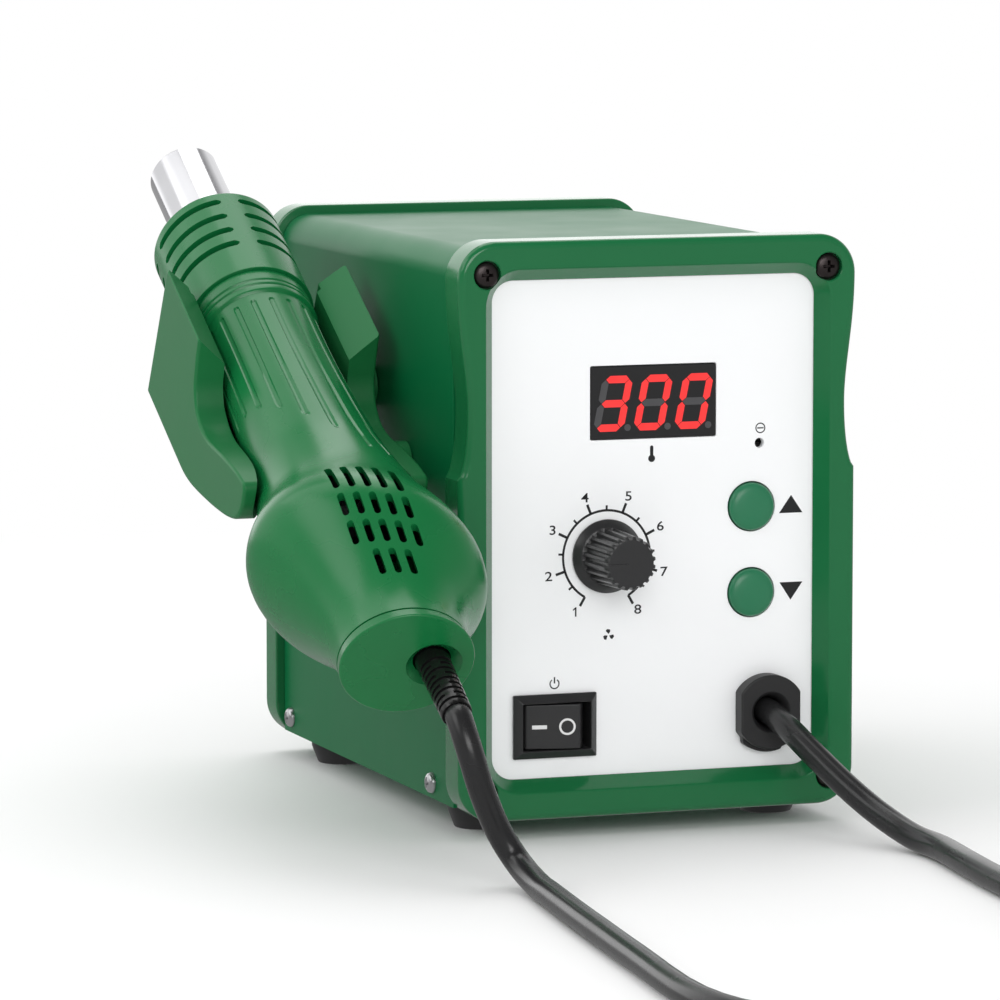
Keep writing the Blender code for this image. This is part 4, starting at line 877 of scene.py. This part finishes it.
gun_green = moulded("gun_green", colour(14, 108, 56), 0.27, 0.05)
show("gun_handle", cut(handle, joined(*slots)), "gun", gun_green, "green_plastic", "gun_handle")

# End cap: the green round end with the recess that the cable leaves through.
rim = eased([(0, 0), (14.9, 0), (15.2, 0.4), (14.85, 2.8), (12.4, 2.8), (12.4, 4.8), (0, 4.8)],
            [0, 0.3, 0.2, 0.2, 0, 0, 0])


def leaning_ring(r, s, middle, count):
    """A ring about the line x = middle whose height follows the lean of the bulb."""
    turns = [math.tau * k / count for k in range(count)]
    ring = [(middle + r * math.cos(t), r * math.sin(t)) for t in turns]
    return [(x, y, lean(x, y, s)) for x, y in ring]


end_cap = loft([leaning_ring(r, s, 0, 128) for r, s in rim], GUN)
mouth = [(0, -4), (6.5, -4), (6.4, -0.1), (6.2, 0.2), (4.7, 1.6), (4.3, 1.9), (4.3, 9), (0, 9)]
recess = loft([leaning_ring(r, s, RELIEF_AT, 48) for r, s in mouth], GUN)
show("gun_end_cap", cut(end_cap, recess), "gun", gun_green, "green_plastic", "gun_end_cap")


# Strain relief: black rubber sleeve round the cable where it leaves the gun, nine ribs joined by bridges that change
# sides from groove to groove.
def sleeve(s, r, groove=0.0, turned=0.0):
    ring = []
    for k in range(64):
        t = math.tau * k / 64
        reach = r if abs(math.cos(t + turned)) > 0.93 else r - groove
        ring.append((reach * math.cos(t), reach * math.sin(t), s))
    return ring


rings = [sleeve(-18.5, 3.1), sleeve(-18.5, 3.42), sleeve(-18.35, 3.5)]
for k in range(9):
    s, r, turned = -16.7 + 1.72 * k, 3.55 + 0.035 * k, math.pi / 2 * (k % 2) + 0.4
    rings += [sleeve(s - 0.44, r), sleeve(s - 0.36, r, 0.42, turned)]
    rings += [sleeve(s + 0.36, r, 0.42, turned), sleeve(s + 0.44, r)]
rings += [sleeve(s, r) for s, r in ((-1.6, 3.9), (5.4, 3.9), (5.4, 5.6), (6.8, 5.6), (6.8, 3.1))]
relief_black = moulded("relief_rubber", colour(20, 20, 20), 0.2, 0.1, 1500, 0.00002)
show("gun_strain_relief", loft(rings, GUN @ Matrix.Translation((RELIEF_AT, 0, 0)), looped=True), "gun", relief_black,
     "black_rubber", "gun_strain_relief")

# Collar: green slotted guard round the nozzle's root, four rows of four slots.
profile = eased([(13.7, 134.5), (15.7, 134.5), (15.7, 166.7), (9.3, 166.7), (9.3, 165.3), (13.7, 165.3)],
                [0, 0.2, 0.6, 0.15, 0, 0], loop=True)
collar = lathe(profile, 160, GUN, ring=True)
cuts = []
for middle in (163, 157, 151.2, 145.5):
    for group in range(4):
        rings = []
        for k in range(25):
            t = math.radians(-90 + group * 90 + 8 + 74 * k / 24)
            half = 1.05 * math.sqrt(max(0.12, 1 - max(0, abs(k - 12) - 11.0) ** 2))
            rings.append([(r * math.cos(t), r * math.sin(t), z) for r, z in (
                (12.5, middle - half), (17, middle - half), (17, middle + half), (12.5, middle + half))])
        cuts.append(loft(rings, GUN))
show("nozzle_collar", cut(collar, joined(*cuts)), "gun", gun_green, "green_plastic", "nozzle_collar")

# Nozzle: drawn stainless steel tube with a flange, round the ceramic heater core.
tube_line = eased([(8.0, 140.6), (12.9, 140.6), (12.9, 141.6), (8.7, 141.6), (8.7, 197.6), (8.0, 197.6)],
                  [0, 0.1, 0.1, 0.4, 0.25, 0.25], loop=True)
nozzle_steel = Finish("nozzle_steel", Metallic=1.0)
nozzle_steel.set(Base_Color=nozzle_steel.mix(nozzle_steel.noise(40, 4), (0.58, 0.58, 0.6, 1), (0.72, 0.72, 0.74, 1)),
                 Roughness=nozzle_steel.noise(120, 3) * 0.06 + 0.09)
nozzle_steel.bump(nozzle_steel.noise(500, 2), 0.05, 0.00002)
show("nozzle_tube", lathe(tube_line, 128, GUN, ring=True), "gun", nozzle_steel, "bright_steel", "nozzle_tube")

# Holder: green moulded trough on the box's left side that the gun drops into from above, on two bosses.
side_outline = eased([(136.8, -21), (136.8, 14.5), (106.9, 14.5), (106.3, 9.0), (104.8, 2.6), (101.4, -1.4),
                      (95.8, -3.3), (89.5, -2.2), (78.1, 1.8), (68, 4.8), (62.1, 5.8), (60.6, 4.4), (60.4, 0), (62, -4),
                      (64.4, -6.3), (70, -9.5), (79, -13.4), (90, -17.5), (97.1, -19.8), (102.5, -20.8)],
                     [1, 1.2, 1, 2, 2, 2, 3, 3, 4, 3, 1, 1.5, 1.5, 1.5, 2, 3, 4, 4, 3, 3], loop=True)
trough = slab([[(-u, s) for s, u in side_outline]], -22.3, 22.3, 0.8, "YZ", GUN, 3)
boss = [(0, 20.3), (5, 20.3), (5, 26.85), (0, 26.85)]
bosses = [lathe(boss, 40, towards(0, -u, s, (1, 0, 0), GUN)) for s, u in HOLDER_BOSSES]
trough = cut(trough, *bosses, how="UNION")
bed = []
for s in [45 + 2.5 * k for k in range(24)] + [150]:
    r = max(15.3, handle_radius(min(s, 110)) + 1.0)
    turns = [math.radians(5 * k) for k in range(19)]
    half = [(r * math.sin(t), -r * math.cos(t)) for t in turns]
    wide = max(22.8, r + 0.5)
    half += [(r, 8.0), (wide, 15.0), (wide, 40)]
    ring = half + [(-x, u) for x, u in reversed(half[1:])]
    bed.append([(x, -u, lean(x, -u, s)) for x, u in ring])
seat = [(x, -y) for x, y in arc(0, 0, 16.2, -180, 0, 48)] + [(16.2, -30), (-16.2, -30)]
pilots = [lathe(PILOT, 16, towards(0, -u, s, (1, 0, 0), GUN)) for s, u in HOLDER_BOSSES]
trough = cut(trough, loft(bed, GUN), slab([seat], 134.5, 150, plane="XY", to=GUN), *pilots)
holder_green = moulded("holder_green", colour(26, 106, 58), 0.38, 0.05, Specular_IOR_Level=0.25)
show("gun_holder", trough, "station", holder_green, "green_plastic", "gun_holder")

# Inside and back: these shapes are right as they are and get their materials here.
laminate = moulded("board_laminate", colour(20, 92, 48), 0.4, 0.15, 800)
aluminium = Finish("bare_aluminium", Metallic=1.0, Base_Color=(0.62, 0.63, 0.64, 1))
aluminium.set(Roughness=aluminium.noise(90, 4) * 0.2 + 0.25)
ceramic = moulded("heater_ceramic", colour(214, 205, 188), 0.7, 0.08, 700, 0.00005)
copper = Finish("winding_copper", Metallic=0.8, Base_Color=colour(176, 98, 52))
copper.set(Roughness=copper.noise(400, 2) * 0.2 + 0.25)
core_steel = Finish("core_steel", Metallic=0.7, Base_Color=colour(120, 122, 126))
core_steel.set(Roughness=core_steel.noise(200, 3) * 0.2 + 0.35)
blue = moulded("trimmer_blue", colour(40, 84, 160), 0.4, 0.06)
dark_rotor = moulded("rotor_plastic", colour(30, 30, 31), 0.45, 0.05)
for skin, names in ((laminate, ("display_board", "control_board")),
                    (aluminium, ("triac_heatsink", "potentiometer_body")), (ceramic, ("heater_core",)),
                    (copper, ("transformer_winding",)), (core_steel, ("transformer_core",)),
                    (blue, ("cal_trimmer",)), (dark_rotor, ("cal_rotor",)),
                    (steel, ("knob_shaft", "inlet_pin_live", "inlet_pin_neutral", "inlet_pin_earth",
                             "holder_screw_front", "holder_screw_back")),
                    (black, ("display_module", "tact_switch_up", "tact_switch_down", "power_inlet",
                             "fan_frame", "fan_impeller"))):
    for node in names:
        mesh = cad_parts[node].data
        mesh.materials.clear()
        mesh.materials.append(skin.skin)
